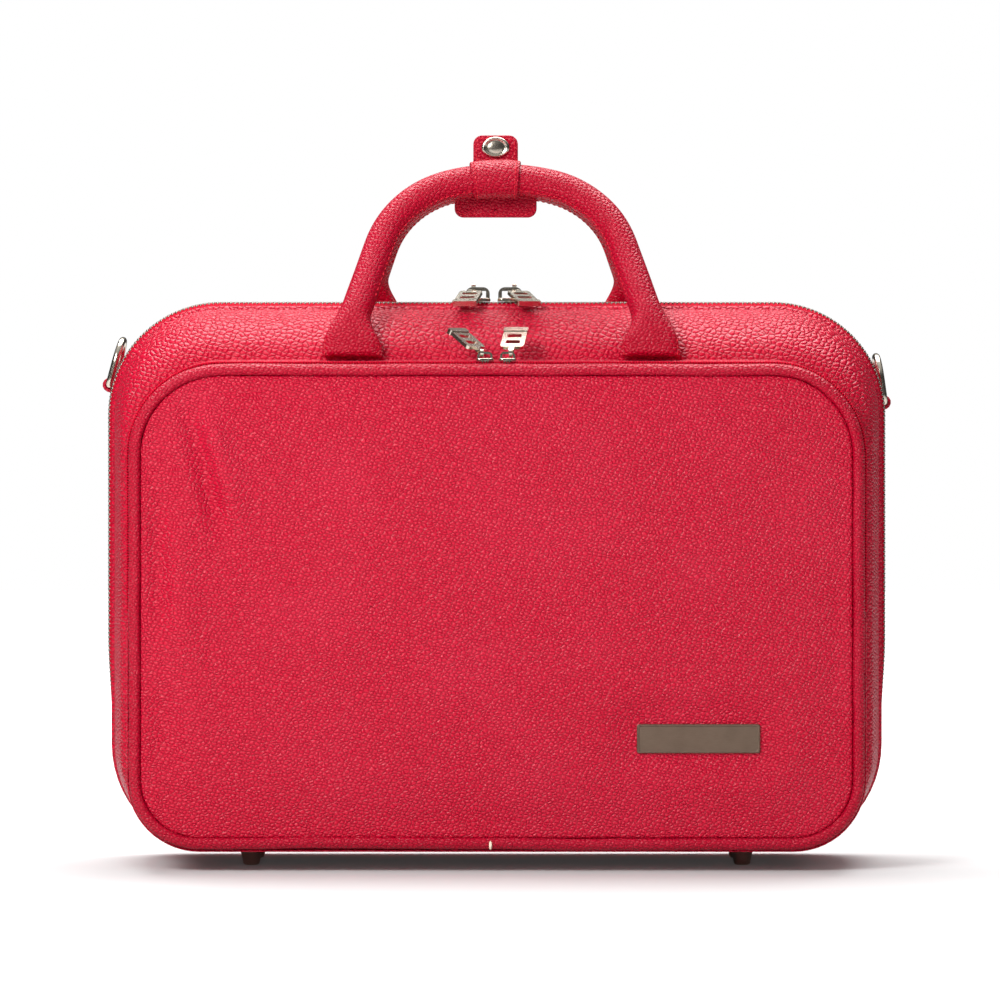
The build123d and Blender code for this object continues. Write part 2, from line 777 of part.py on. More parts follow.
patch_t = 1.4
front_patch_high = front_foot_z - foot_thick / 2 + 1.6
rear_patch_high = rear_foot_z - foot_thick / 2 - 0.4
lid_front = -lid_depth
finish(
    "front_handle_patches",
    patches(front, lid_front - patch_t, lid_front + 1, pocket_top + slide_fit, front_patch_high, lid_outer),
)
finish(
    "rear_handle_patches",
    patches(rear, rear_foot_y - 4, rear_foot_y + 3, rear_patch_high - 6, rear_patch_high, base_outer),
)


# D rings: a straight bar in a leather loop, and a bow that leans in over the corner
def ring(side, height, lean):
    """One D ring, its bar along Y."""
    tilt = radians(lean)
    up = Vector(-side * sin(tilt), 0, cos(tilt))
    plane = Plane(origin=(side * ring_off, mate_y + ring_y, height), x_dir=(0, 1, 0), z_dir=Vector(0, 1, 0).cross(up))
    corner = 3.0
    bow = ring_bar / 2
    with BuildPart() as bent:
        with BuildLine(plane) as line:
            Line((-bow + corner, 0), (bow - corner, 0))
            CenterArc((bow - corner, corner), corner, -90, 90)
            Line((bow, corner), (bow, ring_drop - bow))
            CenterArc((0, ring_drop - bow), bow, 0, 180)
            Line((-bow, ring_drop - bow), (-bow, corner))
            CenterArc((-bow + corner, corner), corner, 180, 90)
        path = line.wire()
        with BuildSketch(Plane(path @ 0, z_dir=path % 0)):
            Circle(ring_wire)
        sweep(path=path)
    return bent.part


def ring_tab(side, height):
    """A folded leather tab: a loop for the bar and a tail stitched to the case's side."""
    loop_in = ring_wire + 0.15
    loop_out = loop_in + ring_tab_t
    x = side * ring_off
    with BuildPart() as tab:
        with BuildSketch(Plane.XZ.offset(-mate_y - ring_y - ring_tab_w / 2)):
            with Locations((x, height)):
                Circle(loop_out)
            with Locations((x - side * loop_out, height - ring_tab_drop / 2)):
                Rectangle(2 * loop_out, ring_tab_drop)
        extrude(amount=ring_tab_w)
        with BuildSketch(Plane.XZ.offset(-mate_y - ring_y - ring_tab_w)):
            with Locations((x + side * (loop_in / 2 + loop_out), height - ring_tab_drop / 2 - loop_out)):
                Rectangle(3 * loop_out, ring_tab_drop)
        extrude(amount=2 * ring_tab_w, mode=Mode.SUBTRACT)
        with BuildSketch(Plane.XZ.offset(-mate_y - ring_y - ring_tab_w)):
            with Locations((x, height)):
                Circle(loop_in)
        extrude(amount=2 * ring_tab_w, mode=Mode.SUBTRACT)
        add(base_outer, mode=Mode.SUBTRACT)
    return tab.part


finish("left_ring", ring(-1, left_ring_z, left_lean))
finish("right_ring", ring(1, right_ring_z, right_lean))
finish("left_ring_tab", ring_tab(-1, left_ring_z))
finish("right_ring_tab", ring_tab(1, right_ring_z))
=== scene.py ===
"""A red pebbled leather oboe case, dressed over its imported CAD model.

Lengths are written in millimetres and become metres when a mesh is made. X runs to the right, the front faces -Y
and the floor is Z = 0. A depth is a distance in front of the main zip's plane; behind it depths are negative.
"""

import logging
import math
from dataclasses import dataclass, field
from enum import Enum
from typing import Any, Callable, Iterable, Optional, Sequence, Union

import bmesh
import bpy
import numpy as np
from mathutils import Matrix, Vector, noise


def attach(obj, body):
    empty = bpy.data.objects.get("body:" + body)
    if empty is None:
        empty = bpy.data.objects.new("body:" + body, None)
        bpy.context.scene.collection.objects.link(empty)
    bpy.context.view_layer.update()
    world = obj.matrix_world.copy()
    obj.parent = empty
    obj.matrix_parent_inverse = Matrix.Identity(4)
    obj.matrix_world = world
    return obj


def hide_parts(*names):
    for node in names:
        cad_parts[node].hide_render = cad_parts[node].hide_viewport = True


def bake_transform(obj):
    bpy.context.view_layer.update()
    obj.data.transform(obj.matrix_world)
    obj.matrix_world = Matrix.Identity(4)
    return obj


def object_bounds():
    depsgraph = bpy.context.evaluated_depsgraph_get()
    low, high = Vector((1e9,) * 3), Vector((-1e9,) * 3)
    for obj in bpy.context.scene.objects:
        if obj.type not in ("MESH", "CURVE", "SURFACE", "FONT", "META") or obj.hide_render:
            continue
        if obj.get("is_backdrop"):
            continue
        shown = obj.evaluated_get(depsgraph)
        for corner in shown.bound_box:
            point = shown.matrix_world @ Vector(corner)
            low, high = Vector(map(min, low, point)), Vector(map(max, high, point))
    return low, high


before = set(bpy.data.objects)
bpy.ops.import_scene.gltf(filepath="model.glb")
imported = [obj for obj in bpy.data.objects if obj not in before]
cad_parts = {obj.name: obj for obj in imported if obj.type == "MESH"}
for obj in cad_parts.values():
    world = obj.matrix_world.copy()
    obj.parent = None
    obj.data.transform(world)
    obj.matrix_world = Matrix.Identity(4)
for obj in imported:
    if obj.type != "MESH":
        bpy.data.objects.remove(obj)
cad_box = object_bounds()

log = logging.getLogger("oboe_case")

MM = 0.001
ZIP_Y = 8.775
Colour = tuple[float, float, float, float]
Value = Union[float, int, tuple, "Socket"]


def srgb(red: int, green: int, blue: int) -> Colour:
    """A colour as a screen shows it, turned into the linear values that shaders use.

    Args:
        red: Red from 0 to 255.
        green: Green from 0 to 255.
        blue: Blue from 0 to 255.

    Returns:
        The linear colour with full alpha.
    """
    linear = []
    for part in (red, green, blue):
        share = part / 255
        linear.append(share / 12.92 if share <= 0.04045 else ((share + 0.055) / 1.055) ** 2.4)
    return (linear[0], linear[1], linear[2], 1.0)


def at(depth: float) -> float:
    """The global Y of a depth in front of the zip's plane."""
    return ZIP_Y - depth


class Socket:
    """A node's output that adds Math nodes when it is used in an expression."""

    def __init__(self, tree: "Tree", socket: bpy.types.NodeSocket) -> None:
        """Keep the socket and the tree it belongs to."""
        self.tree = tree
        self.socket = socket

    def _math(self, operation: str, first: Value, second: Value = 0.0, third: Value = 0.0) -> "Socket":
        """One Math node on up to three values."""
        return self.tree.node("ShaderNodeMath", {"operation": operation}, {0: first, 1: second, 2: third})

    def __add__(self, other: Value) -> "Socket":
        """The sum with a value."""
        return self._math("ADD", self, other)

    def __radd__(self, other: Value) -> "Socket":
        """The sum with a value on the left."""
        return self._math("ADD", other, self)

    def __sub__(self, other: Value) -> "Socket":
        """The difference from a value."""
        return self._math("SUBTRACT", self, other)

    def __rsub__(self, other: Value) -> "Socket":
        """A value less this one."""
        return self._math("SUBTRACT", other, self)

    def __mul__(self, other: Value) -> "Socket":
        """The product with a value."""
        return self._math("MULTIPLY", self, other)

    def __rmul__(self, other: Value) -> "Socket":
        """The product with a value on the left."""
        return self._math("MULTIPLY", other, self)

    def __truediv__(self, other: Value) -> "Socket":
        """The quotient by a value."""
        return self._math("DIVIDE", self, other)

    def __pow__(self, power: Value) -> "Socket":
        """This value raised to a power."""
        return self._math("POWER", self, power)

    def sine(self) -> "Socket":
        """The sine of this value."""
        return self._math("SINE", self)

    def at_least(self, other: Value) -> "Socket":
        """The larger of the two values."""
        return self._math("MAXIMUM", self, other)

    def at_most(self, other: Value) -> "Socket":
        """The smaller of the two values."""
        return self._math("MINIMUM", self, other)

    def rise(self, low: float, high: float) -> "Socket":
        """A smooth climb from 0 at low to 1 at high.

        Args:
            low: The value that gives 0.
            high: The value that gives 1.

        Returns:
            The climb as a value from 0 to 1.
        """
        settings = {"interpolation_type": "SMOOTHSTEP"}
        return self.tree.node("ShaderNodeMapRange", settings, {"Value": self, "From Min": low, "From Max": high})


class Tree:
    """A node tree, for shaders and for geometry alike."""

    def __init__(self, tree: bpy.types.NodeTree) -> None:
        """Keep the tree that nodes are added to."""
        self.tree = tree

    def link(self, value: Value, target: bpy.types.NodeSocket) -> None:
        """Give a socket its value, or link it when the value is another socket."""
        if isinstance(value, Socket):
            self.tree.links.new(value.socket, target)
        elif value is not None:
            target.default_value = value

    def node(
        self,
        kind: str,
        settings: Optional[dict[str, Any]] = None,
        inputs: Optional[dict[Union[int, str], Value]] = None,
        output: Union[int, str] = 0,
    ) -> Socket:
        """Add a node, set it up and wire it.

        Args:
            kind: The node's type name.
            settings: The node's own properties, set before its sockets.
            inputs: Values or sockets by input index or name.
            output: The output to hand back, by index or name.

        Returns:
            The chosen output.
        """
        made = self.tree.nodes.new(kind)
        for name, value in (settings or {}).items():
            setattr(made, name, value)
        for key, value in (inputs or {}).items():
            self.link(value, made.inputs[key])
        return Socket(self, made.outputs[output]) if len(made.outputs) else Socket(self, None)


class Shader(Tree):
    """A material's node tree with a Principled surface."""

    def __init__(self, name: str) -> None:
        """Start an empty material.

        Args:
            name: The material's name.
        """
        self.material = bpy.data.materials.new(name)
        self.material.use_nodes = True
        super().__init__(self.material.node_tree)
        self.tree.nodes.clear()

    def place(self) -> Socket:
        """The point on the piece, in the piece's own coordinates."""
        return self.node("ShaderNodeTexCoord", output="Object")

    def moved(self, vector: Socket, scale: Sequence[float], turn: Sequence[float] = (0, 0, 0)) -> Socket:
        """A vector that is turned, then stretched."""
        return self.node("ShaderNodeMapping", {}, {"Vector": vector, "Scale": tuple(scale), "Rotation": tuple(turn)})

    def mist(self, vector: Socket, scale: float, detail: float = 3.0, roughness: float = 0.5) -> Socket:
        """Soft noise from 0 to 1."""
        inputs = {"Vector": vector, "Scale": scale, "Detail": detail, "Roughness": roughness}
        return self.node("ShaderNodeTexNoise", {}, inputs)

    def pebbles(self, vector: Socket, size: float) -> tuple[Socket, Socket]:
        """Round pebbles laid flat.

        Args:
            vector: Where the pattern is read, in metres.
            size: The pebbles' usual width in millimetres.

        Returns:
            How domed they are, 1 at their tops, and how far each point lies from a crease, 0 to 1.
        """
        inputs = {"Vector": vector, "Scale": 1000 / size, "Randomness": 0.7}
        off = self.node("ShaderNodeTexVoronoi", {"voronoi_dimensions": "2D", "feature": "F1"}, inputs)
        settings = {"voronoi_dimensions": "2D", "feature": "DISTANCE_TO_EDGE"}
        inward = (self.node("ShaderNodeTexVoronoi", settings, inputs) * 2.5).at_most(1.0)
        inward = 1 - (1 - inward) ** 2
        return inward * (1.12 - off * off), inward

    def blend(self, factor: Value, first: Union[Colour, Socket], second: Union[Colour, Socket]) -> Socket:
        """A mix of two colours."""
        return self.node("ShaderNodeMix", {"data_type": "RGBA"}, {0: factor, 6: first, 7: second}, 2)

    def bump(self, height: Socket, relief: float, under: Optional[Socket] = None) -> Socket:
        """A Bump node whose height of 1 stands relief millimetres proud."""
        inputs = {"Height": height, "Distance": relief * MM, "Strength": 1.0}
        if under:
            inputs["Normal"] = under
        return self.node("ShaderNodeBump", {}, inputs)

    def part(self, vector: Socket, axis: str) -> Socket:
        """One of a vector's three parts."""
        return self.node("ShaderNodeSeparateXYZ", {}, {0: vector}, axis)

    def surface(self, **values: Value) -> bpy.types.Material:
        """Finish the material.

        Args:
            **values: Principled inputs, with spaces in their names written as underscores.

        Returns:
            The finished material.
        """
        inputs = {name.replace("_", " "): value for name, value in values.items()}
        principled = self.node("ShaderNodeBsdfPrincipled", {}, inputs)
        self.node("ShaderNodeOutputMaterial", {}, {"Surface": principled})
        return self.material


@dataclass(frozen=True)
class Leather:
    """Coated leather with pebbled grain, paler on the pebbles' tops and darker in the creases, where the darkening is
    painted shade.
    """

    name: str
    top: Colour = srgb(190, 0, 44)
    # Painted shade: the darker red laid into the creases between the pebbles.
    painted_crease_shade: Colour = srgb(146, 0, 30)
    grain: float = 2.2
    relief: float = 0.42
    roughness: float = 0.42
    gloss: float = 0.24

    def material(self) -> bpy.types.Material:
        """Build the leather's material."""
        shader = Shader(self.name)
        place = shader.place()
        flat = shader.node("ShaderNodeUVMap", {"uv_map": "flat"})
        drift = shader.node("ShaderNodeTexNoise", {}, {"Vector": place, "Scale": 220.0, "Detail": 1.0}, "Color")
        centred = shader.node("ShaderNodeVectorMath", {"operation": "SUBTRACT"}, {0: drift, 1: (0.5, 0.5, 0.5)})
        small = shader.node("ShaderNodeVectorMath", {"operation": "SCALE"}, {0: centred, "Scale": 0.0014})
        bent = shader.node("ShaderNodeVectorMath", {"operation": "ADD"}, {0: flat, 1: small})
        bent = shader.moved(bent, (0.86, 1.16, 1.0), (0, 0, 0.35))
        domes, inward = shader.pebbles(bent, self.grain)
        fine, _ = shader.pebbles(bent, self.grain / 2.3)
        broad = shader.mist(place, 22.0, 2.0)
        height = domes + fine * 0.14 + shader.mist(place, 900.0, 2.0) * 0.1
        # Painted shade: the colour darkens towards the creases between the pebbles, where shade would fall.
        shade = inward.rise(-0.15, 0.8)
        tone = shader.blend(shade, self.painted_crease_shade, self.top)
        # Painted sheen: pale pink mixed in at random patches stands in for the pink highlights on the pebbles.
        painted_sheen = shader.blend(broad.rise(0.42, 0.75) * 0.08, tone, srgb(220, 50, 84))
        roughness = 0.12 * broad + (self.roughness - 0.02) - 0.1 * shade
        return shader.surface(
            Base_Color=painted_sheen, Roughness=roughness, Normal=shader.bump(height, self.relief), Specular_IOR_Level=self.gloss
        )


@dataclass(frozen=True)
class Weave:
    """Woven zip tape: fine ribs across and along."""

    name: str
    colour: Colour
    rib: float = 0.8
    relief: float = 0.12

    def material(self) -> bpy.types.Material:
        """Build the tape's material."""
        shader = Shader(self.name)
        place = shader.place()
        waves = []
        for axis in "XYZ":
            waves.append((shader.part(place, axis) * (2000 * math.pi / self.rib)).sine())
        weave = (waves[0] * waves[1] + waves[1] * waves[2] + waves[2] * waves[0]) * 0.3 + 0.5
        fuzz = shader.mist(place, 1400.0, 2.0)
        tone = shader.blend(weave * 0.45 + fuzz * 0.35, tuple(0.5 * c for c in self.colour[:3]) + (1.0,), self.colour)
        height = weave + fuzz * 0.4
        return shader.surface(
            Base_Color=tone, Roughness=0.82, Normal=shader.bump(height, self.relief), Specular_IOR_Level=0.1
        )


@dataclass(frozen=True)
class Plush:
    """Flocked or napped cloth, for the lining and the tray."""

    name: str
    colour: Colour
    nap: float = 0.5
    relief: float = 0.3

    def material(self) -> bpy.types.Material:
        """Build the cloth's material."""
        shader = Shader(self.name)
        place = shader.place()
        nap = shader.mist(place, 1000 / self.nap, 3.0, 0.7)
        swirl = shader.mist(place, 18.0, 3.0).rise(0.35, 0.65)
        dark = tuple(0.55 * c for c in self.colour[:3]) + (1.0,)
        tone = shader.blend(nap * 0.5 + swirl * 0.5, dark, self.colour)
        return shader.surface(
            Base_Color=tone, Roughness=0.93, Normal=shader.bump(nap, self.relief), Sheen_Weight=0.6,
            Sheen_Roughness=0.5,
        )


@dataclass(frozen=True)
class Metal:
    """Plated or brushed metal with fine scratches and a little tarnish."""

    name: str
    colour: Colour
    roughness: float = 0.16
    brushed: float = 0.0

    def material(self) -> bpy.types.Material:
        """Build the metal's material."""
        shader = Shader(self.name)
        place = shader.place()
        scratch = shader.mist(shader.moved(place, (60.0, 900.0, 900.0)), 4.0, 4.0, 0.65)
        cloud = shader.mist(place, 130.0, 3.0)
        tint = shader.blend(cloud.rise(0.35, 0.8) * 0.35, self.colour, tuple(0.72 * c for c in self.colour[:3]) + (1.0,))
        roughness = cloud * 0.1 + scratch * (0.08 + 0.3 * self.brushed) + self.roughness
        return shader.surface(
            Base_Color=tint, Metallic=1.0, Roughness=roughness,
            Normal=shader.bump(scratch, 0.01 + 0.03 * self.brushed),
        )


@dataclass(frozen=True)
class Fibre:
    """Pressed board or sewing thread: matt, with fine flecks."""

    name: str
    colour: Colour
    fleck: float = 0.6

    def material(self) -> bpy.types.Material:
        """Build the fibre's material."""
        shader = Shader(self.name)
        place = shader.place()
        flecks = shader.mist(place, 1000 / self.fleck, 4.0, 0.7)
        pale = tuple(min(1.0, 1.6 * c) for c in self.colour[:3]) + (1.0,)
        tone = shader.blend(flecks.rise(0.4, 0.8), self.colour, pale)
        return shader.surface(Base_Color=tone, Roughness=0.8, Normal=shader.bump(flecks, 0.08))


class Finish(Enum):
    """The finishes of the case, each with the record's slot it belongs to."""

    LEATHER = ("leather", Leather("case_leather"))
    PANEL = ("leather", Leather("panel_leather", grain=1.75, relief=0.34, gloss=0.32))
    HANDLE = ("handle_leather", Leather("handle_leather_fine", srgb(172, 0, 38), grain=1.8, relief=0.3))
    TAPE = ("zip_tape", Weave("red_zip_tape", srgb(204, 0, 42)))
    LINING = ("lining", Plush("black_plush", srgb(38, 34, 36)))
    FOAM = ("foam", Plush("flocked_foam", srgb(48, 42, 44), 0.8, 0.35))
    BOARD = ("board", Fibre("grey_board", srgb(92, 86, 80)))
    THREAD = ("leather", Fibre("red_thread", srgb(196, 20, 44), 0.3))
    CREAM = ("leather", Fibre("cream_thread", srgb(232, 208, 186), 0.3))
    TEETH = ("zip_teeth", Metal("zip_teeth_metal", srgb(128, 120, 112), 0.3))
    COIL = ("coil", Weave("red_coil", srgb(216, 4, 48), 0.5, 0.05))
    NICKEL = ("nickel", Metal("nickel_plate", srgb(214, 204, 188), 0.1))
    PLATE = ("plate", Metal("brushed_plate", srgb(126, 108, 94), 0.36, 1.0))

    def made(self) -> bpy.types.Material:
        """The finish's material, built once and then shared."""
        name = self.value[1].name
        return bpy.data.materials.get(name) or self.value[1].material()

    def slot(self) -> str:
        """The name of the record's slot."""
        return self.value[0]


@dataclass(frozen=True)
class Outline:
    """An upright rounded outline, centred on the case."""

    half: float
    low: float
    high: float
    high_r: float
    low_r: float

    def inset(self, by: float, high_by: float = 0.0, low_by: float = 0.0) -> "Outline":
        """The outline drawn in.

        Args:
            by: How far it draws in all round.
            high_by: How much further the top comes down.
            low_by: How much further the bottom comes up.

        Returns:
            The smaller outline.
        """
        return Outline(
            self.half - by, self.low + by + low_by, self.high - by - high_by, max(self.high_r - by, 1.0),
            max(self.low_r - by, 1.0),
        )

    def ring(self, across: int = 44, up: int = 30, turn: int = 14) -> np.ndarray:
        """Points all the way round, in the same number whatever the size.

        Args:
            across: Steps along the bottom and along the top.
            up: Steps up each side.
            turn: Steps round each corner.

        Returns:
            X and Z of the points, from the middle of the bottom to the left and over the top.
        """
        corners = (
            (-self.half + self.low_r, self.low + self.low_r, self.low_r, 270),
            (-self.half + self.high_r, self.high - self.high_r, self.high_r, 180),
            (self.half - self.high_r, self.high - self.high_r, self.high_r, 90),
            (self.half - self.low_r, self.low + self.low_r, self.low_r, 0),
        )
        steps = (up, across, up, across)
        points: list[tuple[float, float]] = []
        for number, (x, z, radius, start) in enumerate(corners):
            for k in range(turn + 1):
                angle = math.radians(start - 90 * k / turn)
                points.append((x + radius * math.cos(angle), z + radius * math.sin(angle)))
            x2, z2, radius2, start2 = corners[(number + 1) % 4]
            angle = math.radians(start2)
            goal = (x2 + radius2 * math.cos(angle), z2 + radius2 * math.sin(angle))
            last = points[-1]
            for k in range(1, steps[number]):
                share = k / steps[number]
                points.append((last[0] + (goal[0] - last[0]) * share, last[1] + (goal[1] - last[1]) * share))
        return np.array(points)

    def arch(self, above: float, step: float = 1.5) -> np.ndarray:
        """The outline's upper part, from its left end over the top to its right end.

        Args:
            above: The height at which both ends stand.
            step: How far apart the points are.

        Returns:
            X and Z of evenly spaced points.
        """
        fine = self.ring(400, 300, 60)
        start = int(np.argmin(np.abs(fine[:, 0]) + fine[:, 1]))
        fine = np.roll(fine, -start, axis=0)
        kept = fine[fine[:, 1] >= above]
        first, last = kept[0].copy(), kept[-1].copy()
        first[1] = last[1] = above
        return evened(np.vstack([first, kept, last]), step)


def evened(points: np.ndarray, step: float) -> np.ndarray:
    """A line's points, spaced evenly.

    Args:
        points: The line's points, in any number of dimensions.
        step: About how far apart the new points are.

    Returns:
        The new points, both ends kept.
    """
    along = np.concatenate([[0.0], np.cumsum(np.linalg.norm(np.diff(points, axis=0), axis=1))])
    count = max(2, int(round(along[-1] / step)) + 1)
    goal = np.linspace(0, along[-1], count)
    return np.stack([np.interp(goal, along, points[:, k]) for k in range(points.shape[1])], axis=1)


def cut_line(points: np.ndarray, start: float, end: float, step: float = 0.5) -> np.ndarray:
    """Part of a line, between two distances along it.

    Args:
        points: The line's points.
        start: The distance at which the part starts.
        end: How far before the line's end it stops.
        step: How far apart its points are.

    Returns:
        The part's points.
    """
    along = np.concatenate([[0.0], np.cumsum(np.linalg.norm(np.diff(points, axis=0), axis=1))])
    goal = np.linspace(start, along[-1] - end, max(2, int((along[-1] - end - start) / step)))
    return np.stack([np.interp(goal, along, points[:, k]) for k in range(points.shape[1])], axis=1)


def standing(flat: np.ndarray, depth: Union[float, np.ndarray]) -> np.ndarray:
    """Points of an upright outline, placed at a depth."""
    return np.stack([flat[:, 0], ZIP_Y - np.broadcast_to(depth, len(flat)), flat[:, 1]], axis=1)


def ripple(points: np.ndarray, size: float, seed: float = 0.0) -> np.ndarray:
    """Soft noise from -1 to 1 at each point.

    Args:
        points: The points, in millimetres.
        size: How broad one swell is.
        seed: Moves the pattern.

    Returns:
        One value a point.
    """
    return np.array([noise.noise(Vector(p) / size + Vector((seed, seed, seed))) for p in points])


class Skin:
    """A surface gathered from rows of points, then made a mesh."""

    def __init__(self) -> None:
        """Start with no points."""
        self.points: list[np.ndarray] = []
        self.faces: list[tuple[int, ...]] = []
        self.count = 0

    def rows(self, rows: Sequence[np.ndarray], around: bool, shut: bool = False, ends: bool = False) -> "Skin":
        """Join rows of points into a grid.

        Args:
            rows: Arrays of equal length, each with three columns.
            around: Whether each row closes on itself.
            shut: Whether the last row joins the first.
            ends: Whether the two ends of the rows are filled.

        Returns:
            The skin itself.
        """
        start, wide, tall = self.count, len(rows[0]), len(rows)
        for r in range(tall if shut else tall - 1):
            upper = (r + 1) % tall
            for c in range(wide if around else wide - 1):
                nxt = (c + 1) % wide
                self.faces.append(
                    (start + r * wide + c, start + r * wide + nxt, start + upper * wide + nxt, start + upper * wide + c)
                )
        if ends:
            self.faces.append(tuple(start + r * wide for r in range(tall)))
            self.faces.append(tuple(start + r * wide + wide - 1 for r in reversed(range(tall))))
        self.points.extend(rows)
        self.count += wide * tall
        return self

    def filled(self) -> "Skin":
        """Fill the last row of a skin whose rows close on themselves."""
        self.faces.append(tuple(range(self.count - len(self.points[0]), self.count)))
        return self

    def shut_rows(self) -> "Skin":
        """Fill the first and the last row of a skin whose rows close on themselves."""
        wide = len(self.points[0])
        self.faces.append(tuple(range(wide)))
        self.faces.append(tuple(reversed(range(self.count - wide, self.count))))
        return self

    def make(self, name: str, weld: float = 0.01, outward: bool = True) -> bpy.types.Object:
        """Make the object.

        Args:
            name: The piece's name.
            weld: Points nearer than this are merged, in millimetres.
            outward: Whether faces are turned to point outwards.

        Returns:
            The new object, at the origin.
        """
        mesh = bpy.data.meshes.new(name)
        mesh.from_pydata((np.vstack(self.points) * MM).tolist(), [], self.faces)
        work = bmesh.new()
        work.from_mesh(mesh)
        bmesh.ops.remove_doubles(work, verts=work.verts, dist=weld * MM)
        if outward:
            bmesh.ops.recalc_face_normals(work, faces=work.faces)
        work.to_mesh(mesh)
        work.free()
        mesh.shade_smooth()
        made = bpy.data.objects.new(name, mesh)
        bpy.context.scene.collection.objects.link(made)
        return made


def modified(piece: bpy.types.Object, kind: str, **settings: Any) -> bpy.types.Object:
    """Add a modifier to a piece and apply it.

    Args:
        piece: The piece to change.
        kind: The modifier's type.
        **settings: The modifier's own settings.

    Returns:
        The piece, with a plain mesh.
    """
    added = piece.modifiers.new(kind.lower(), kind)
    for name, value in settings.items():
        setattr(added, name, value)
    return settled(piece)


def settled(piece: bpy.types.Object) -> bpy.types.Object:
    """Turn a piece's modifiers into plain mesh and take them off."""
    bpy.context.view_layer.update()
    depsgraph = bpy.context.evaluated_depsgraph_get()
    mesh = bpy.data.meshes.new_from_object(piece.evaluated_get(depsgraph))
    old = piece.data
    piece.modifiers.clear()
    piece.data = mesh
    bpy.data.meshes.remove(old)
    return piece


def thickened(piece: bpy.types.Object, thick: float) -> bpy.types.Object:
    """Give an outward-facing sheet its thickness, inwards."""
    return modified(piece, "SOLIDIFY", thickness=thick * MM, offset=-1.0)


def lay_flat(piece: bpy.types.Object) -> None:
    """Give a piece a map called flat, in metres, seen along whichever axis each face looks to most.

    Args:
        piece: The finished piece.
    """
    mesh = piece.data
    points = np.empty(len(mesh.vertices) * 3)
    mesh.vertices.foreach_get("co", points)
    normals = np.empty(len(mesh.polygons) * 3)
    mesh.polygons.foreach_get("normal", normals)
    corners, sizes = np.empty(len(mesh.loops), dtype=int), np.empty(len(mesh.polygons), dtype=int)
    mesh.loops.foreach_get("vertex_index", corners)
    mesh.polygons.foreach_get("loop_total", sizes)
    axis = np.repeat(np.abs(normals.reshape(-1, 3) * (1.0, 1.1, 1.0)).argmax(axis=1), sizes)
    across, along = np.array([1, 0, 0])[axis], np.array([2, 2, 1])[axis]
    spots = points.reshape(-1, 3)[corners]
    picked = np.arange(len(corners))
    laid = np.stack([spots[picked, across] + axis * 0.7, spots[picked, along]], axis=1)
    mesh.uv_layers.new(name="flat").uv.foreach_set("vector", laid.ravel())


def dress(piece: bpy.types.Object, finish: Finish, body: str, *nodes: str) -> bpy.types.Object:
    """Give a piece its finish, its body and the CAD nodes that it stands for.

    Args:
        piece: The finished piece.
        finish: The finish it gets.
        body: The CAD body it rides on.
        *nodes: The CAD nodes it replaces.

    Returns:
        The piece.
    """
    lay_flat(piece)
    piece.data.materials.clear()
    piece.data.materials.append(finish.made())
    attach(piece, body)
    if nodes:
        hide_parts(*nodes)
    log.info("%s rides on %s with %d faces", piece.name, body, len(piece.data.polygons))
    return piece


def dress_between(
    piece: bpy.types.Object, finish: Finish, bodies: tuple[str, str], start: Sequence[float], end: Sequence[float],
    *nodes: str,
) -> bpy.types.Object:
    """Give a piece its finish, fix it where it lies and hide the CAD nodes it replaces.

    Args:
        piece: The finished piece.
        finish: The finish it gets.
        bodies: Two bodies, named only in the log.
        start: A point in millimetres, not used.
        end: A point in millimetres, not used.
        *nodes: The CAD nodes it replaces.

    Returns:
        The piece.
    """
    lay_flat(piece)
    piece.data.materials.clear()
    piece.data.materials.append(finish.made())
    [v * MM for v in start]
    [v * MM for v in end]
    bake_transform(piece)
    if nodes:
        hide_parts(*nodes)
    log.info("%s bends between %s and %s", piece.name, *bodies)
    return piece


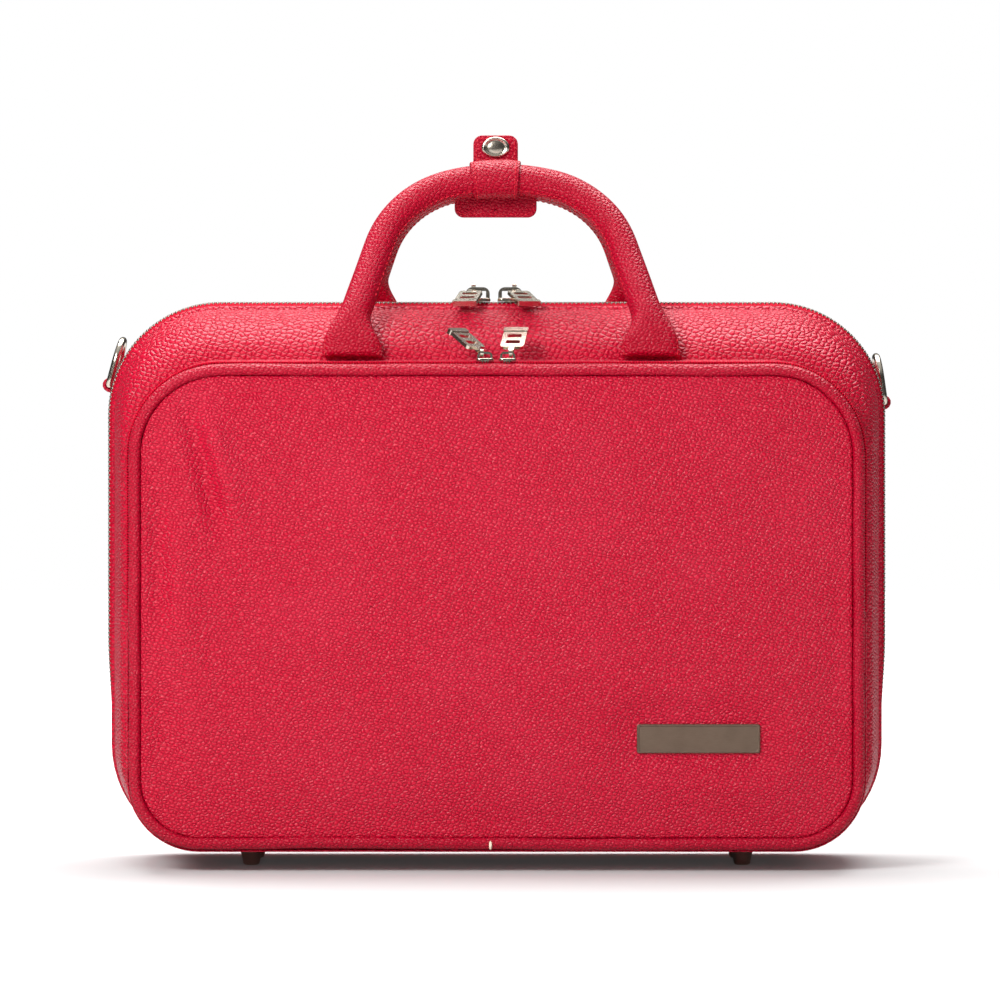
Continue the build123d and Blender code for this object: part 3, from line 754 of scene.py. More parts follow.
class RepeatTool:
    """Geometry Nodes that set one small shape again and again along a line."""

    def __init__(self) -> None:
        """Build the node group once."""
        self.group = bpy.data.node_groups.new("repeat_along_line", "GeometryNodeTree")
        face = self.group.interface
        self.sockets: dict[str, str] = {}
        for name, kind in (
            ("Geometry", "NodeSocketGeometry"), ("Shape", "NodeSocketObject"), ("Count", "NodeSocketInt"),
            ("Outward", "NodeSocketVector"), ("Unevenness", "NodeSocketFloat"), ("Seed", "NodeSocketInt"),
            ("Finish", "NodeSocketMaterial"),
        ):
            self.sockets[name] = face.new_socket(name=name, in_out="INPUT", socket_type=kind).identifier
        face.new_socket(name="Geometry", in_out="OUTPUT", socket_type="NodeSocketGeometry")
        tree = Tree(self.group)
        given = self.group.nodes.new("NodeGroupInput")
        take = {name: Socket(tree, given.outputs[name]) for name in self.sockets}
        line = tree.node("GeometryNodeMeshToCurve", {}, {"Mesh": take["Geometry"]})
        spots = self.group.nodes.new("GeometryNodeCurveToPoints")
        spots.mode = "COUNT"
        tree.link(line, spots.inputs["Curve"])
        tree.link(take["Count"], spots.inputs["Count"])
        tangent = Socket(tree, spots.outputs["Tangent"])
        along = tree.node("FunctionNodeAlignRotationToVector", {"axis": "Z"}, {"Vector": tangent})
        turned = tree.node(
            "FunctionNodeAlignRotationToVector", {"axis": "Y", "pivot_axis": "Z"},
            {"Rotation": along, "Vector": take["Outward"]},
        )
        shape = tree.node("GeometryNodeObjectInfo", {}, {"Object": take["Shape"]}, "Geometry")
        chance = tree.node(
            "FunctionNodeRandomValue", {"data_type": "FLOAT"}, {2: 1 - take["Unevenness"], 3: 1.0, 8: take["Seed"]}, 1
        )
        placed = tree.node(
            "GeometryNodeInstanceOnPoints", {},
            {"Points": Socket(tree, spots.outputs["Points"]), "Instance": shape, "Rotation": turned, "Scale": chance},
            "Instances",
        )
        real = tree.node("GeometryNodeRealizeInstances", {}, {0: placed})
        painted = tree.node("GeometryNodeSetMaterial", {}, {"Geometry": real, "Material": take["Finish"]})
        tree.node("NodeGroupOutput", {}, {0: painted})

    def run(
        self, name: str, lines: Sequence[np.ndarray], shape: bpy.types.Object, pitch: float, finish: Finish,
        outward: Sequence[float] = (0, 1, 0), uneven: float = 0.0, seed: int = 1,
    ) -> bpy.types.Object:
        """Repeat a shape along lines and hand back one plain piece.

        Args:
            name: The piece's name.
            lines: Each line's points, in millimetres.
            shape: The small shape; its Z runs along the line and its Y points outward.
            pitch: How far apart the shapes stand.
            finish: The finish of the shapes.
            outward: The direction that the shape's Y is turned to.
            uneven: How much smaller the smallest one is, as a share.
            seed: The seed of that unevenness.

        Returns:
            The finished piece.
        """
        parts = []
        for number, line in enumerate(lines):
            mesh = bpy.data.meshes.new(f"{name}_line")
            mesh.from_pydata((np.asarray(line) * MM).tolist(), [(k, k + 1) for k in range(len(line) - 1)], [])
            made = bpy.data.objects.new(f"{name}_part_{number}", mesh)
            bpy.context.scene.collection.objects.link(made)
            length = float(np.linalg.norm(np.diff(line, axis=0), axis=1).sum())
            nodes = made.modifiers.new("repeat", "NODES")
            nodes.node_group = self.group
            values = {
                "Shape": shape, "Count": max(2, int(round(length / pitch)) + 1), "Outward": list(outward),
                "Unevenness": uneven, "Seed": seed + number, "Finish": finish.made(),
            }
            for key, value in values.items():
                nodes[self.sockets[key]] = value
            parts.append(settled(made))
        return joined(name, parts)


def joined(name: str, parts: Sequence[bpy.types.Object]) -> bpy.types.Object:
    """Join plain pieces into one.

    Args:
        name: The new piece's name.
        parts: The pieces, which are used up.

    Returns:
        The joined piece.
    """
    work = bmesh.new()
    for part in parts:
        work.from_mesh(part.data)
    mesh = bpy.data.meshes.new(name)
    work.to_mesh(mesh)
    work.free()
    mesh.shade_smooth()
    for part in parts:
        old = part.data
        bpy.data.objects.remove(part)
        bpy.data.meshes.remove(old)
    made = bpy.data.objects.new(name, mesh)
    bpy.context.scene.collection.objects.link(made)
    return made


def small_block(name: str, sections: Sequence[tuple[float, float, float, float]], bevel: float) -> bpy.types.Object:
    """A small bevelled block whose width changes along its Y.

    Args:
        name: The shape's name.
        sections: For each step along Y: y, half width along Z, lowest x and highest x.
        bevel: The size of its edges' rounding.

    Returns:
        The shape, as an object that isn't shown.
    """
    skin = Skin()
    rows = [
        np.array([(low, y, -wide), (high, y, -wide), (high, y, wide), (low, y, wide)])
        for y, wide, low, high in sections
    ]
    skin.rows(rows, around=True)
    skin.shut_rows()
    shape = skin.make(name)
    modified(shape, "BEVEL", width=bevel * MM, segments=1, limit_method="NONE")
    shape.hide_render = True
    return shape


def sculpted(piece: bpy.types.Object, lift: Callable[[np.ndarray], np.ndarray]) -> bpy.types.Object:
    """Move a piece's points along their normals.

    Args:
        piece: The piece to change.
        lift: Gives each point's move in millimetres, from the points in millimetres.

    Returns:
        The piece.
    """
    mesh = piece.data
    places = np.array([v.co for v in mesh.vertices])
    normals = np.array([n.vector for n in mesh.vertex_normals])
    moved = places + normals * (lift(places / MM) * MM)[:, None]
    mesh.vertices.foreach_set("co", moved.ravel())
    mesh.update()
    return piece


def eased(share: np.ndarray) -> np.ndarray:
    """A smooth climb from 0 to 1, held at both ends."""
    held = np.clip(share, 0, 1)
    return held * held * (3 - 2 * held)


def off_rectangle(x: np.ndarray, z: np.ndarray, centre: Sequence[float], size: Sequence[float], corner: float) -> np.ndarray:
    """How far points lie outside a rounded rectangle; inside it the value is negative.

    Args:
        x: The points' X.
        z: The points' Z.
        centre: The rectangle's middle.
        size: Its width and height.
        corner: Its corner radius.

    Returns:
        One distance a point.
    """
    over_x = np.abs(x - centre[0]) - size[0] / 2 + corner
    over_z = np.abs(z - centre[1]) - size[1] / 2 + corner
    outside = np.hypot(np.maximum(over_x, 0), np.maximum(over_z, 0))
    return outside + np.minimum(np.maximum(over_x, over_z), 0) - corner


@dataclass
class Shell:
    """One half of the case: its leather cover and its lining, on the CAD's board."""

    name: str
    facing: int
    stations: tuple[tuple[float, float, float, float], ...]
    crown: float
    edge: Outline = Outline(174.2, 6.0, 252.2, 48.2, 48.2)
    set_back: float = 7.0
    cover_thick: float = 1.2
    lining_inset: float = 7.05
    lining_thick: float = 1.0
    rim: float = 0.2
    seed: float = 0.0

    def drawn(self, depth: float, inset: float) -> Outline:
        """The half's outline at one depth, on curves through its stations.

        Args:
            depth: The distance from the zip's plane.
            inset: How far the outline is drawn in.

        Returns:
            The outline there.
        """
        last = self.stations[-1]
        known = [(self.set_back, 0.0, 0.0, 0.0), *self.stations[:-1], (last[0] - inset, *last[1:])]
        if depth <= self.set_back:
            return self.edge.inset(inset)
        values = []
        for column in (1, 2, 3):
            total = 0.0
            for i, station in enumerate(known):
                share = 1.0
                for j, other in enumerate(known):
                    if i != j:
                        share *= (depth - other[0]) / (station[0] - other[0])
                total += share * station[column]
            values.append(total)
        side, rise, drop = values
        edge = self.edge.inset(inset)
        return Outline(edge.half - side, edge.low + rise, edge.high - drop, edge.high_r - side, edge.low_r - side)

    def wall_rows(self, inset: float, first: float, edge_round: float) -> list[np.ndarray]:
        """Rows from the rim over the rounded edge to the middle of the face.

        Args:
            inset: How far the surface lies inside the leather's.
            first: The depth of the first row.
            edge_round: The radius between side and face.

        Returns:
            The rows.
        """
        last = self.stations[-1][0] - inset
        rows = []
        for depth in np.linspace(first, last - edge_round, 11):
            rows.append(standing(self.drawn(depth, inset).ring(), self.facing * depth))
        for turn in np.radians(np.linspace(15, 90, 6)):
            depth = last - edge_round * (1 - math.sin(turn))
            shape = self.drawn(depth, inset).inset(edge_round * (1 - math.cos(turn)))
            rows.append(standing(shape.ring(), self.facing * depth))
        face = self.drawn(last, inset).inset(edge_round)
        for by in (3, 8, 15, 24, 35, 48, 62, 77, 92):
            rows.append(standing(face.inset(by).ring(), self.facing * last))
        return rows

    def cover(self) -> bpy.types.Object:
        """The leather cover, with its folded edge beside the zip."""
        rolled = []
        for depth, out in ((7.9, -0.9), (7.1, -0.5), (6.8, 0.3), (7.4, 1.2), (8.4, 1.1), (9.1, 0.1)):
            rolled.append(standing(self.edge.inset(-out).ring(), self.facing * depth))
        rows = rolled + self.wall_rows(0.0, 9.4, 5.0)
        piece = Skin().rows(rows, around=True).filled().make(f"{self.name}_shell")

        def soft(points: np.ndarray) -> np.ndarray:
            """A gentle crown and the leather's own unevenness."""
            depth = self.facing * (ZIP_Y - points[:, 1])
            face = eased((depth - self.stations[-1][0] + 1.5) / 1.5)
            inside = -off_rectangle(points[:, 0], points[:, 2], (0, 128), (330, 232), 40)
            crown = self.crown * eased(inside / 70) * face
            return crown + ripple(points, 38, self.seed) * 0.28 * eased((depth - 9) / 6)

        sculpted(piece, soft)
        thickened(piece, self.cover_thick)
        return dress(piece, Finish.LEATHER, self.name, f"{self.name}_cover")

    def lining(self) -> bpy.types.Object:
        """The plush lining inside the board."""
        rows = self.wall_rows(self.lining_inset, self.rim, 3.0)
        piece = Skin().rows(rows, around=True).filled().make(f"{self.name}_plush")
        thickened(piece, self.lining_thick)
        return dress(piece, Finish.LINING, self.name, f"{self.name}_lining")

    def build(self) -> None:
        """Make the half's cover and lining, and give the board its finish."""
        self.cover()
        self.lining()
        finish_node(f"{self.name}_board", Finish.BOARD)


def finish_node(node: str, finish: Finish) -> None:
    """Give a CAD node that stays in view its finish.

    Args:
        node: The node's name.
        finish: Its finish.
    """
    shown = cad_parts[node]
    shown.data.materials.clear()
    shown.data.materials.append(finish.made())
    log.info("%s keeps its CAD shape", node)


@dataclass
class HingeStrip:
    """The leather along the bottom that the case folds on."""

    edge: Outline = Outline(174.2, 6.0, 252.2, 48.2, 48.2)
    thick: float = 1.2
    set_back: float = 7.4
    top: float = 47.7
    flat_half: float = 122.0

    def corner_leaf(self, body: str, facing: int) -> None:
        """The stiff leaf round both lower corners of one half.

        Args:
            body: The half it belongs to.
            facing: 1 for the lid, -1 for the base.
        """
        line = self.edge.ring(400, 300, 60)
        skin = Skin()
        for side in (-1, 1):
            kept = line[(line[:, 1] <= self.top) & (side * line[:, 0] >= self.flat_half - 2)]
            kept = kept[np.argsort(kept[:, 1] + side * kept[:, 0])]
            kept = evened(kept, 3.0)
            centre = np.array([side * (self.edge.half - self.edge.low_r), self.edge.low + self.edge.low_r])
            inner = kept.copy()
            for k, point in enumerate(kept):
                lean = np.array([max(side * (point[0] - centre[0]), 0) * side, min(point[1] - centre[1], 0)])
                inner[k] = point - lean / np.linalg.norm(lean) * self.thick
            rows = [
                standing(kept, facing * 0.25), standing(kept, facing * 2.0), standing(kept, facing * self.set_back),
                standing(inner, facing * self.set_back), standing(inner, facing * 0.25),
            ]
            skin.rows(rows, around=False, shut=True, ends=True)
        piece = skin.make(f"{body}_hinge_corners")
        dress(piece, Finish.LEATHER, body, f"{body}_hinge_leaf")

    def build(self) -> None:
        """Make the folding strip and the leaves round the corners."""
        across = np.linspace(-self.flat_half, self.flat_half, 60)
        rows = []
        for depth in np.linspace(-self.set_back, self.set_back, 17):
            groove = 0.25 * math.exp(-((depth / 0.8) ** 2))
            flat = np.stack([across, np.full_like(across, self.edge.low + groove)], axis=1)
            rows.append(standing(flat, depth))
        for depth in np.linspace(self.set_back, -self.set_back, 9):
            flat = np.stack([across, np.full_like(across, self.edge.low + self.thick)], axis=1)
            rows.append(standing(flat, depth))
        piece = Skin().rows(rows, around=False, shut=True, ends=True).make("hinge_strip")
        ends = ((0, at(-4.0), 6.0), (0, at(4.0), 6.0))
        dress_between(piece, Finish.LEATHER, ("base", "lid"), ends[0], ends[1])
        self.corner_leaf("base", -1)
        self.corner_leaf("lid", 1)


@dataclass
class Tray:
    """The moulded tray in the base, with wells that have soft rims and round bottoms."""

    half: float = 157.95
    low: float = 18.25
    high: float = 231.95
    corner: float = 31.95
    face: float = 3.0
    back: float = 37.75
    sunk: float = 25.6
    wells: tuple[tuple[float, float, float, float, float], ...] = (
        (0.0, 204.95, 252.0, 36.0, 18.0),
        (0.0, 159.95, 252.0, 36.0, 18.0),
        (-68.95, 109.95, 124.0, 46.0, 9.0),
        (57.05, 109.95, 92.0, 46.0, 6.0),
        (0.0, 54.95, 243.9, 36.8, 8.0),
    )

    def sink(self, x: np.ndarray, z: np.ndarray) -> np.ndarray:
        """How deep the surface lies under the tray's face at each point."""
        deep = np.zeros_like(x)
        for cx, cz, wide, tall, corner in self.wells:
            inside = -off_rectangle(x, z, (cx, cz), (wide, tall), corner)
            share = np.clip((inside + 0.4) / 7.0, 0, 1)
            deep = np.maximum(deep, self.sunk * (1 - (1 - share) ** 4))
        edge = -off_rectangle(x, z, (0, (self.low + self.high) / 2), (2 * self.half, self.high - self.low), self.corner)
        return deep + 0.8 * (1 - eased(edge / 3))

    def build(self) -> None:
        """Make the tray as one closed piece."""
        rows = []
        for z in np.linspace(self.low, self.high, 128):
            off = max(self.low + self.corner - z, z - self.high + self.corner, 0.0)
            half = self.half - self.corner + math.sqrt(max(self.corner**2 - off**2, 0.0))
            x = np.linspace(-half, half, 180)
            flat = np.stack([x, np.full_like(x, z)], axis=1)
            rows.append(standing(flat, -(self.face + self.sink(x, np.full_like(x, z)))))
        skin = Skin().rows(rows, around=False)
        left = np.array([row[0] for row in rows])
        right = np.array([row[-1] for row in rows])
        border = np.vstack([rows[0], right[1:], rows[-1][::-1][1:], left[::-1][1:-1]])
        behind = border.copy()
        behind[:, 1] = ZIP_Y + self.back
        skin.rows([border, behind], around=True)
        skin.faces.append(tuple(range(skin.count - len(behind), skin.count)))
        piece = skin.make("moulded_tray")
        dress(piece, Finish.FOAM, "base", "foam_tray")


@dataclass
class LidPad:
    """The quilted pad inside the lid."""

    shape: Outline = Outline(159.3, 17.2, 222.3, 33.3, 33.3)
    near: float = 20.9
    far: float = 25.7
    quilt: float = 38.0

    def build(self) -> None:
        """Make the pad as one plump closed piece."""
        middle = (self.shape.high - self.shape.low) / 2
        steps = (0.0, 0.8, 2.0, 4.0, 7.0, 11.0, *np.arange(16.0, middle, 3.5), middle)
        front, rear = [], []
        for by in steps:
            ring = self.shape.inset(by).ring(90, 60, 10)
            full = math.sqrt(1 - (1 - min(by / 11.0, 1.0)) ** 2)
            u = (ring[:, 0] + ring[:, 1]) / self.quilt
            v = (ring[:, 0] - ring[:, 1]) / self.quilt
            seams = np.minimum(np.abs(np.sin(math.pi * u)), np.abs(np.sin(math.pi * v)))
            puff = 0.35 + 0.65 * np.sqrt(np.clip(seams * 1.6, 0, 1))
            rise = (self.far - self.near) * (0.3 + 0.7 * full * puff)
            front.append(standing(ring, self.far - rise))
            rear.append(standing(ring, self.far - 0.7 * (1 - full)))
        rows = front[::-1] + rear
        piece = Skin().rows(rows, around=True).make("quilted_lid_pad")
        dress(piece, Finish.LINING, "lid", "lid_pad")


@dataclass
class MainZip:
    """The metal zip over the top and down both sides: tape, teeth, sliders and pulls."""

    line: Outline = Outline(178.0, 2.2, 256.0, 52.0, 52.0)
    foot: float = 48.0
    pitch: float = 2.0
    tape_thick: float = 0.8

    def drawn_in(self, line: np.ndarray, share: float) -> np.ndarray:
        """A line across whose lower ends draw in towards the leather by a share of 2.9 mm."""
        by = 2.9 * share * (1 - eased((line[:, 1] - self.foot) / 55.0))
        return line - np.stack([by * np.sign(line[:, 0]), np.zeros(len(line))], axis=1)

    def tape(self, body: str, facing: int) -> None:
        """One half's woven tape, with a corded edge under its teeth."""
        outer = ((1.0, 2.1), (1.3, 1.3), (2.0, 0.95), (2.9, 1.35), (4.6, 2.45), (6.4, 3.6), (7.8, 4.35))
        inner = ((7.8, 5.1), (6.4, 4.4), (4.6, 3.3), (2.9, 2.3), (2.0, 2.45), (1.3, 2.4))
        rows = []
        for depth, by in outer + inner:
            flat = self.drawn_in(self.line.inset(by).arch(self.foot, 2.0), max(1 - depth / 6.5, 0.0))
            rows.append(standing(flat, facing * depth))
        wide = min(len(row) for row in rows)
        rows = [evened_to(row, wide) for row in rows]
        piece = Skin().rows(rows, around=False, shut=True, ends=True).make(f"{body}_tape")
        dress(piece, Finish.TAPE, body, f"{body}_zip_tape")

    def teeth(self, tool: RepeatTool, body: str, facing: int) -> None:
        """One half's teeth, half a pitch off the other half's."""
        sections = ((-3.3, 0.34, 0.95, 2.45), (-2.2, 0.46, 0.5, 2.7), (-0.7, 0.46, 0.4, 2.8), (0.5, 0.36, 0.55, 2.65))
        tooth = small_block("tooth", sections, 0.14)
        line = standing(self.drawn_in(self.line.arch(self.foot + 0.6, 0.5), 1.0), 0.0)
        line = cut_line(line, 0.0, self.pitch / 2) if facing > 0 else cut_line(line, self.pitch / 2, 0.0)
        if facing < 0:
            line = line[::-1]
        outward = (0.0, float(facing), 0.0)
        piece = tool.run(f"{body}_teeth", [line], tooth, self.pitch, Finish.TEETH, outward)
        drop_shape(tooth)
        dress(piece, Finish.TEETH, body, f"{body}_zip_chain")

    def build(self, tool: RepeatTool) -> None:
        """Make both tapes and rows of teeth, and finish the sliders and pulls."""
        for body, facing in (("lid", 1), ("base", -1)):
            self.tape(body, facing)
            self.teeth(tool, body, facing)
        for side in ("left", "right"):
            finish_node(f"main_slider_{side}", Finish.NICKEL)
            finish_node(f"main_pull_{side}", Finish.NICKEL)


def evened_to(points: np.ndarray, count: int) -> np.ndarray:
    """A line's points, spaced evenly to a given number."""
    along = np.concatenate([[0.0], np.cumsum(np.linalg.norm(np.diff(points, axis=0), axis=1))])
    goal = np.linspace(0, along[-1], count)
    return np.stack([np.interp(goal, along, points[:, k]) for k in range(points.shape[1])], axis=1)


def drop_shape(shape: bpy.types.Object) -> None:
    """Remove a small shape once its copies are made."""
    mesh = shape.data
    bpy.data.objects.remove(shape)
    bpy.data.meshes.remove(mesh)


@dataclass
class Pocket:
    """The front pocket: side wall, zip tape and coils, piping, panel and bare plate."""

    line: Outline = Outline(163.8, 9.2, 226.0, 41.0, 32.0)
    lid_face: float = 34.0
    zip_edge: float = 53.0
    zip_middle: float = 57.7
    zip_foot: float = 115.0
    pitch: float = 1.2
    cord_depth: float = 60.9
    cord_inset: float = 3.4
    cord_r: float = 2.65
    panel_inset: float = 5.9
    panel_depth: float = 62.1
    plate: tuple[float, float, float, float] = (89.4, 59.3, 54.6, 12.9)
    creases: tuple[tuple[float, float, float, float, float, float], ...] = (
        (-139, 214, -119, 138, 4.6, -3.8),
        (-131, 212, -112, 150, 6.5, 2.2),
        (-152, 176, -150, 96, 7.0, -2.6),
        (-143, 168, -139, 84, 8.0, 2.0),
        (-150, 84, -146, 44, 6.0, -1.2),
        (92, 214, 146, 168, 7.0, -1.3),
        (104, 204, 150, 150, 9.0, 1.1),
        (150, 140, 152, 60, 8.0, -0.7),
        (-60, 22, 40, 18, 6.0, -0.6),
    )

    def side_wall(self) -> None:
        """The leather side wall, open above for the zip and closed below."""
        base = self.line.ring(60, 60, 14)
        up = eased((base[:, 1] - self.zip_foot + 1.2) / 2.4)
        end = self.zip_edge * up + 60.2 * (1 - up)
        top = eased((base[:, 1] - 205) / 18)
        rows = []
        for share, out in (
            (0.0, 0.0), (0.01, 0.5), (0.05, 0.75), (0.1, 0.45), (0.3, 0.2), (0.5, 0.1), (0.7, 0.05), (0.88, 0.0),
            (0.93, 0.25), (0.97, 0.3), (1.0, 0.0), (0.995, -0.5),
        ):
            flat = self.line.inset(-out).ring(60, 60, 14)
            flat[:, 1] += top * 1.5 * (1 - share) ** 1.5
            rows.append(standing(flat, self.lid_face - 0.4 + share * (end - self.lid_face + 0.4)))
        piece = Skin().rows(rows, around=True).make("pocket_side_wall", outward=False)
        face_out(piece)
        thickened(piece, 1.0)
        dress(piece, Finish.LEATHER, "lid", "pocket_gusset")

    def tape(self) -> None:
        """The woven tape behind the coils, in the lid's part of the zip."""
        rows = []
        for depth, by in ((52.0, 0.9), (54.0, 0.45), (55.5, 0.25), (56.2, 0.5), (56.2, 1.1), (54.0, 1.2), (52.0, 1.6)):
            rows.append(standing(evened_to(self.line.inset(by).arch(self.zip_foot, 2.0), 320), depth))
        piece = Skin().rows(rows, around=False, shut=True, ends=True).make("pocket_tape")
        dress(piece, Finish.TAPE, "lid", "pocket_rear_tape")

    def sewing(self, tool: RepeatTool) -> None:
        """The stitches round the side wall's folded edge, and the thread's end at the piping's joint.

        Args:
            tool: The tool that repeats stitches.
        """
        stitch = stitch_shape()
        line = standing(self.line.inset(-0.3).arch(self.zip_foot + 2, 0.8), self.zip_edge - 2.6)
        sewn = tool.run("gusset_stitches", [line], stitch, 2.6, Finish.THREAD, (0.0, 1.0, 0.0), 0.1, 9)
        drop_shape(stitch)
        dress(sewn, Finish.THREAD, "lid")
        turn = np.radians(np.arange(0, 360, 45))
        rows = []
        for z, depth, radius in ((14.2, 63.0, 0.2), (13.4, 63.7, 0.6), (12.0, 63.9, 0.7), (10.8, 63.7, 0.6), (10.2, 63.3, 0.2)):
            flat = np.stack([radius * np.cos(turn) - 2.7, np.full(8, z)], axis=1)
            rows.append(standing(flat, 0.0) - np.stack([0 * turn, depth + radius * np.sin(turn), 0 * turn], axis=1))
        end = Skin().rows(rows, around=True).shut_rows().make("thread_end")
        dress(end, Finish.CREAM, "lid")

    def coil(self, tool: RepeatTool, name: str, body: str, facing: int, node: str) -> None:
        """One row of the coil.

        Args:
            tool: The tool that repeats the coil's turns.
            name: The piece's name.
            body: The body it rides on.
            facing: 1 for the front row, -1 for the rear row.
            node: The CAD node it replaces.
        """
        sections = ((-1.85, 0.2, -0.3, 0.7), (-1.3, 0.4, -0.55, 0.85), (-0.3, 0.38, -0.6, 0.9), (0.2, 0.25, -0.4, 0.7))
        turn = small_block("coil_turn", sections, 0.16)
        line = standing(self.line.arch(self.zip_foot + 0.5, 0.4), self.zip_middle)
        line = cut_line(line, 0.0, self.pitch / 2) if facing > 0 else cut_line(line, self.pitch / 2, 0.0)[::-1]
        piece = tool.run(name, [line], turn, self.pitch, Finish.COIL, (0.0, float(facing), 0.0))
        drop_shape(turn)
        dress(piece, Finish.COIL, body, node)

    def piping(self) -> None:
        """The cord-filled piping round the panel, a little uneven as sewn piping is."""
        ring = self.line.inset(self.cord_inset)
        outer = self.line.inset(self.cord_inset - 1).ring(90, 70, 16)
        path = ring.ring(90, 70, 16)
        away = outer - path
        away /= np.linalg.norm(away, axis=1)[:, None]
        spots = standing(path, self.cord_depth)
        wander = ripple(spots, 26, 3.0) * 0.3 + ripple(spots, 9, 5.0) * 0.12
        low = eased((20 - path[:, 1]) / 8) * 0.8 * np.exp(-(((path[:, 0] + 60) / 45) ** 2))
        path = path + away * (wander - low)[:, None]
        rows = []
        for angle in np.radians(np.arange(0, 360, 24)):
            pinch = 1.0 + 0.06 * math.cos(3 * angle)
            flat = path + away * (self.cord_r * pinch * math.cos(angle))
            rows.append(standing(flat, self.cord_depth + self.cord_r * pinch * math.sin(angle)))
        piece = Skin().rows(rows, around=True, shut=True).make("pocket_piping")
        ends = ((0, at(60), self.zip_foot - 5), (0, at(60), self.zip_foot + 5))
        dress_between(piece, Finish.HANDLE, ("lid", "pocket_flap"), ends[0], ends[1], "piping_lower", "piping_upper")

    def panel_lift(self, points: np.ndarray) -> np.ndarray:
        """How far the panel stands proud: its fullness, swells and creases."""
        x, z = points[:, 0], points[:, 2]
        middle = (self.line.low + self.line.high) / 2
        inside = -off_rectangle(
            x, z, (0, middle), (2 * self.line.half - 14, self.line.high - self.line.low - 14), 34
        )
        lift = 1.6 * eased(inside / 26) + 1.4 * eased(inside / 95)
        side = eased((np.abs(x) - 95) / 50)
        tall = points * np.array([1.0, 1.0, 0.38])
        lift += (0.35 + 0.75 * side) * ripple(tall, 24, 7.0) * eased(inside / 14)
        lift += 0.5 * ripple(points, 60, 11.0) * eased(inside / 20)
        for x0, z0, x1, z1, wide, high in self.creases:
            along = np.array([x1 - x0, z1 - z0], float)
            length = float(np.linalg.norm(along))
            along /= length
            s = (x - x0) * along[0] + (z - z0) * along[1]
            off = np.abs((z - z0) * along[0] - (x - x0) * along[1])
            fade = eased(s / (0.3 * length)) * eased((length - s) / (0.35 * length))
            lift += high * np.exp(-((off / wide) ** 2)) * fade * eased(inside / 8)
        around_plate = off_rectangle(x, z, self.plate[:2], self.plate[2:], 2)
        return lift * eased((around_plate - 0.5) / 16)

    def panel(self) -> None:
        """The full, slightly creased leather panel."""
        rows = []
        for by, depth in ((5.6, 59.4), (5.8, 60.4), (6.0, 61.2), (6.4, 61.8), (7.2, 62.05)):
            rows.append(standing(self.line.inset(by).ring(120, 84, 16), depth))
        middle = (self.line.high - self.line.low) / 2
        for by in (*np.arange(8.5, middle, 2.2), middle):
            rows.append(standing(self.line.inset(by).ring(120, 84, 16), self.panel_depth))
        piece = Skin().rows(rows, around=True).make("pocket_panel", outward=False)
        face_out(piece)
        sculpted(piece, lambda points: self.panel_lift(points) * eased((61.7 - (ZIP_Y - points[:, 1])) / -0.3))
        thickened(piece, 1.3)
        ends = ((0, at(62), self.zip_foot - 6), (0, at(62), self.zip_foot + 6))
        nodes = ("pocket_panel_lower", "pocket_panel_upper")
        dress_between(piece, Finish.PANEL, ("lid", "pocket_flap"), ends[0], ends[1], *nodes)

    def bare_plate(self) -> None:
        """The bare metal plate: a bevelled frame round a slightly sunk brushed field."""
        x, z, wide, tall = self.plate
        back = self.panel_depth + 0.18
        edge = rounded((wide, tall), (x, z), (0.7,) * 4)
        rows = []
        for by, proud in ((0.5, 0.0), (0.0, 0.1), (0.0, 0.85), (0.35, 1.24), (0.75, 1.24), (1.15, 0.95), (1.5, 0.95)):
            rows.append(standing((edge - (x, z)) * (1 - 2 * by / wide, 1 - 2 * by / tall) + (x, z), back + proud))
        piece = Skin().rows(rows, around=True).shut_rows().make("bare_plate")
        piece.data.shade_flat()
        dress(piece, Finish.PLATE, "lid", "nameplate")

    def build(self, tool: RepeatTool) -> None:
        """Make the pocket's pieces, and finish its hardware."""
        self.side_wall()
        self.tape()
        self.coil(tool, "rear_coil", "lid", -1, "pocket_rear_coil")
        self.coil(tool, "front_coil", "pocket_flap", 1, "pocket_front_coil")
        self.piping()
        self.sewing(tool)
        self.panel()
        self.bare_plate()
        for side in ("left", "right"):
            finish_node(f"pocket_slider_{side}", Finish.NICKEL)
            finish_node(f"pocket_pull_{side}", Finish.NICKEL)


def face_out(piece: bpy.types.Object) -> bpy.types.Object:
    """Turn an open shell's faces away from the middle of the case."""
    work = bmesh.new()
    work.from_mesh(piece.data)
    work.normal_update()
    middle = Vector((0, ZIP_Y * MM, 0.128))
    score = sum((f.calc_center_median() - middle).dot(f.normal) * f.calc_area() for f in work.faces)
    if score < 0:
        bmesh.ops.reverse_faces(work, faces=work.faces)
    work.to_mesh(piece.data)
    work.free()
    return piece


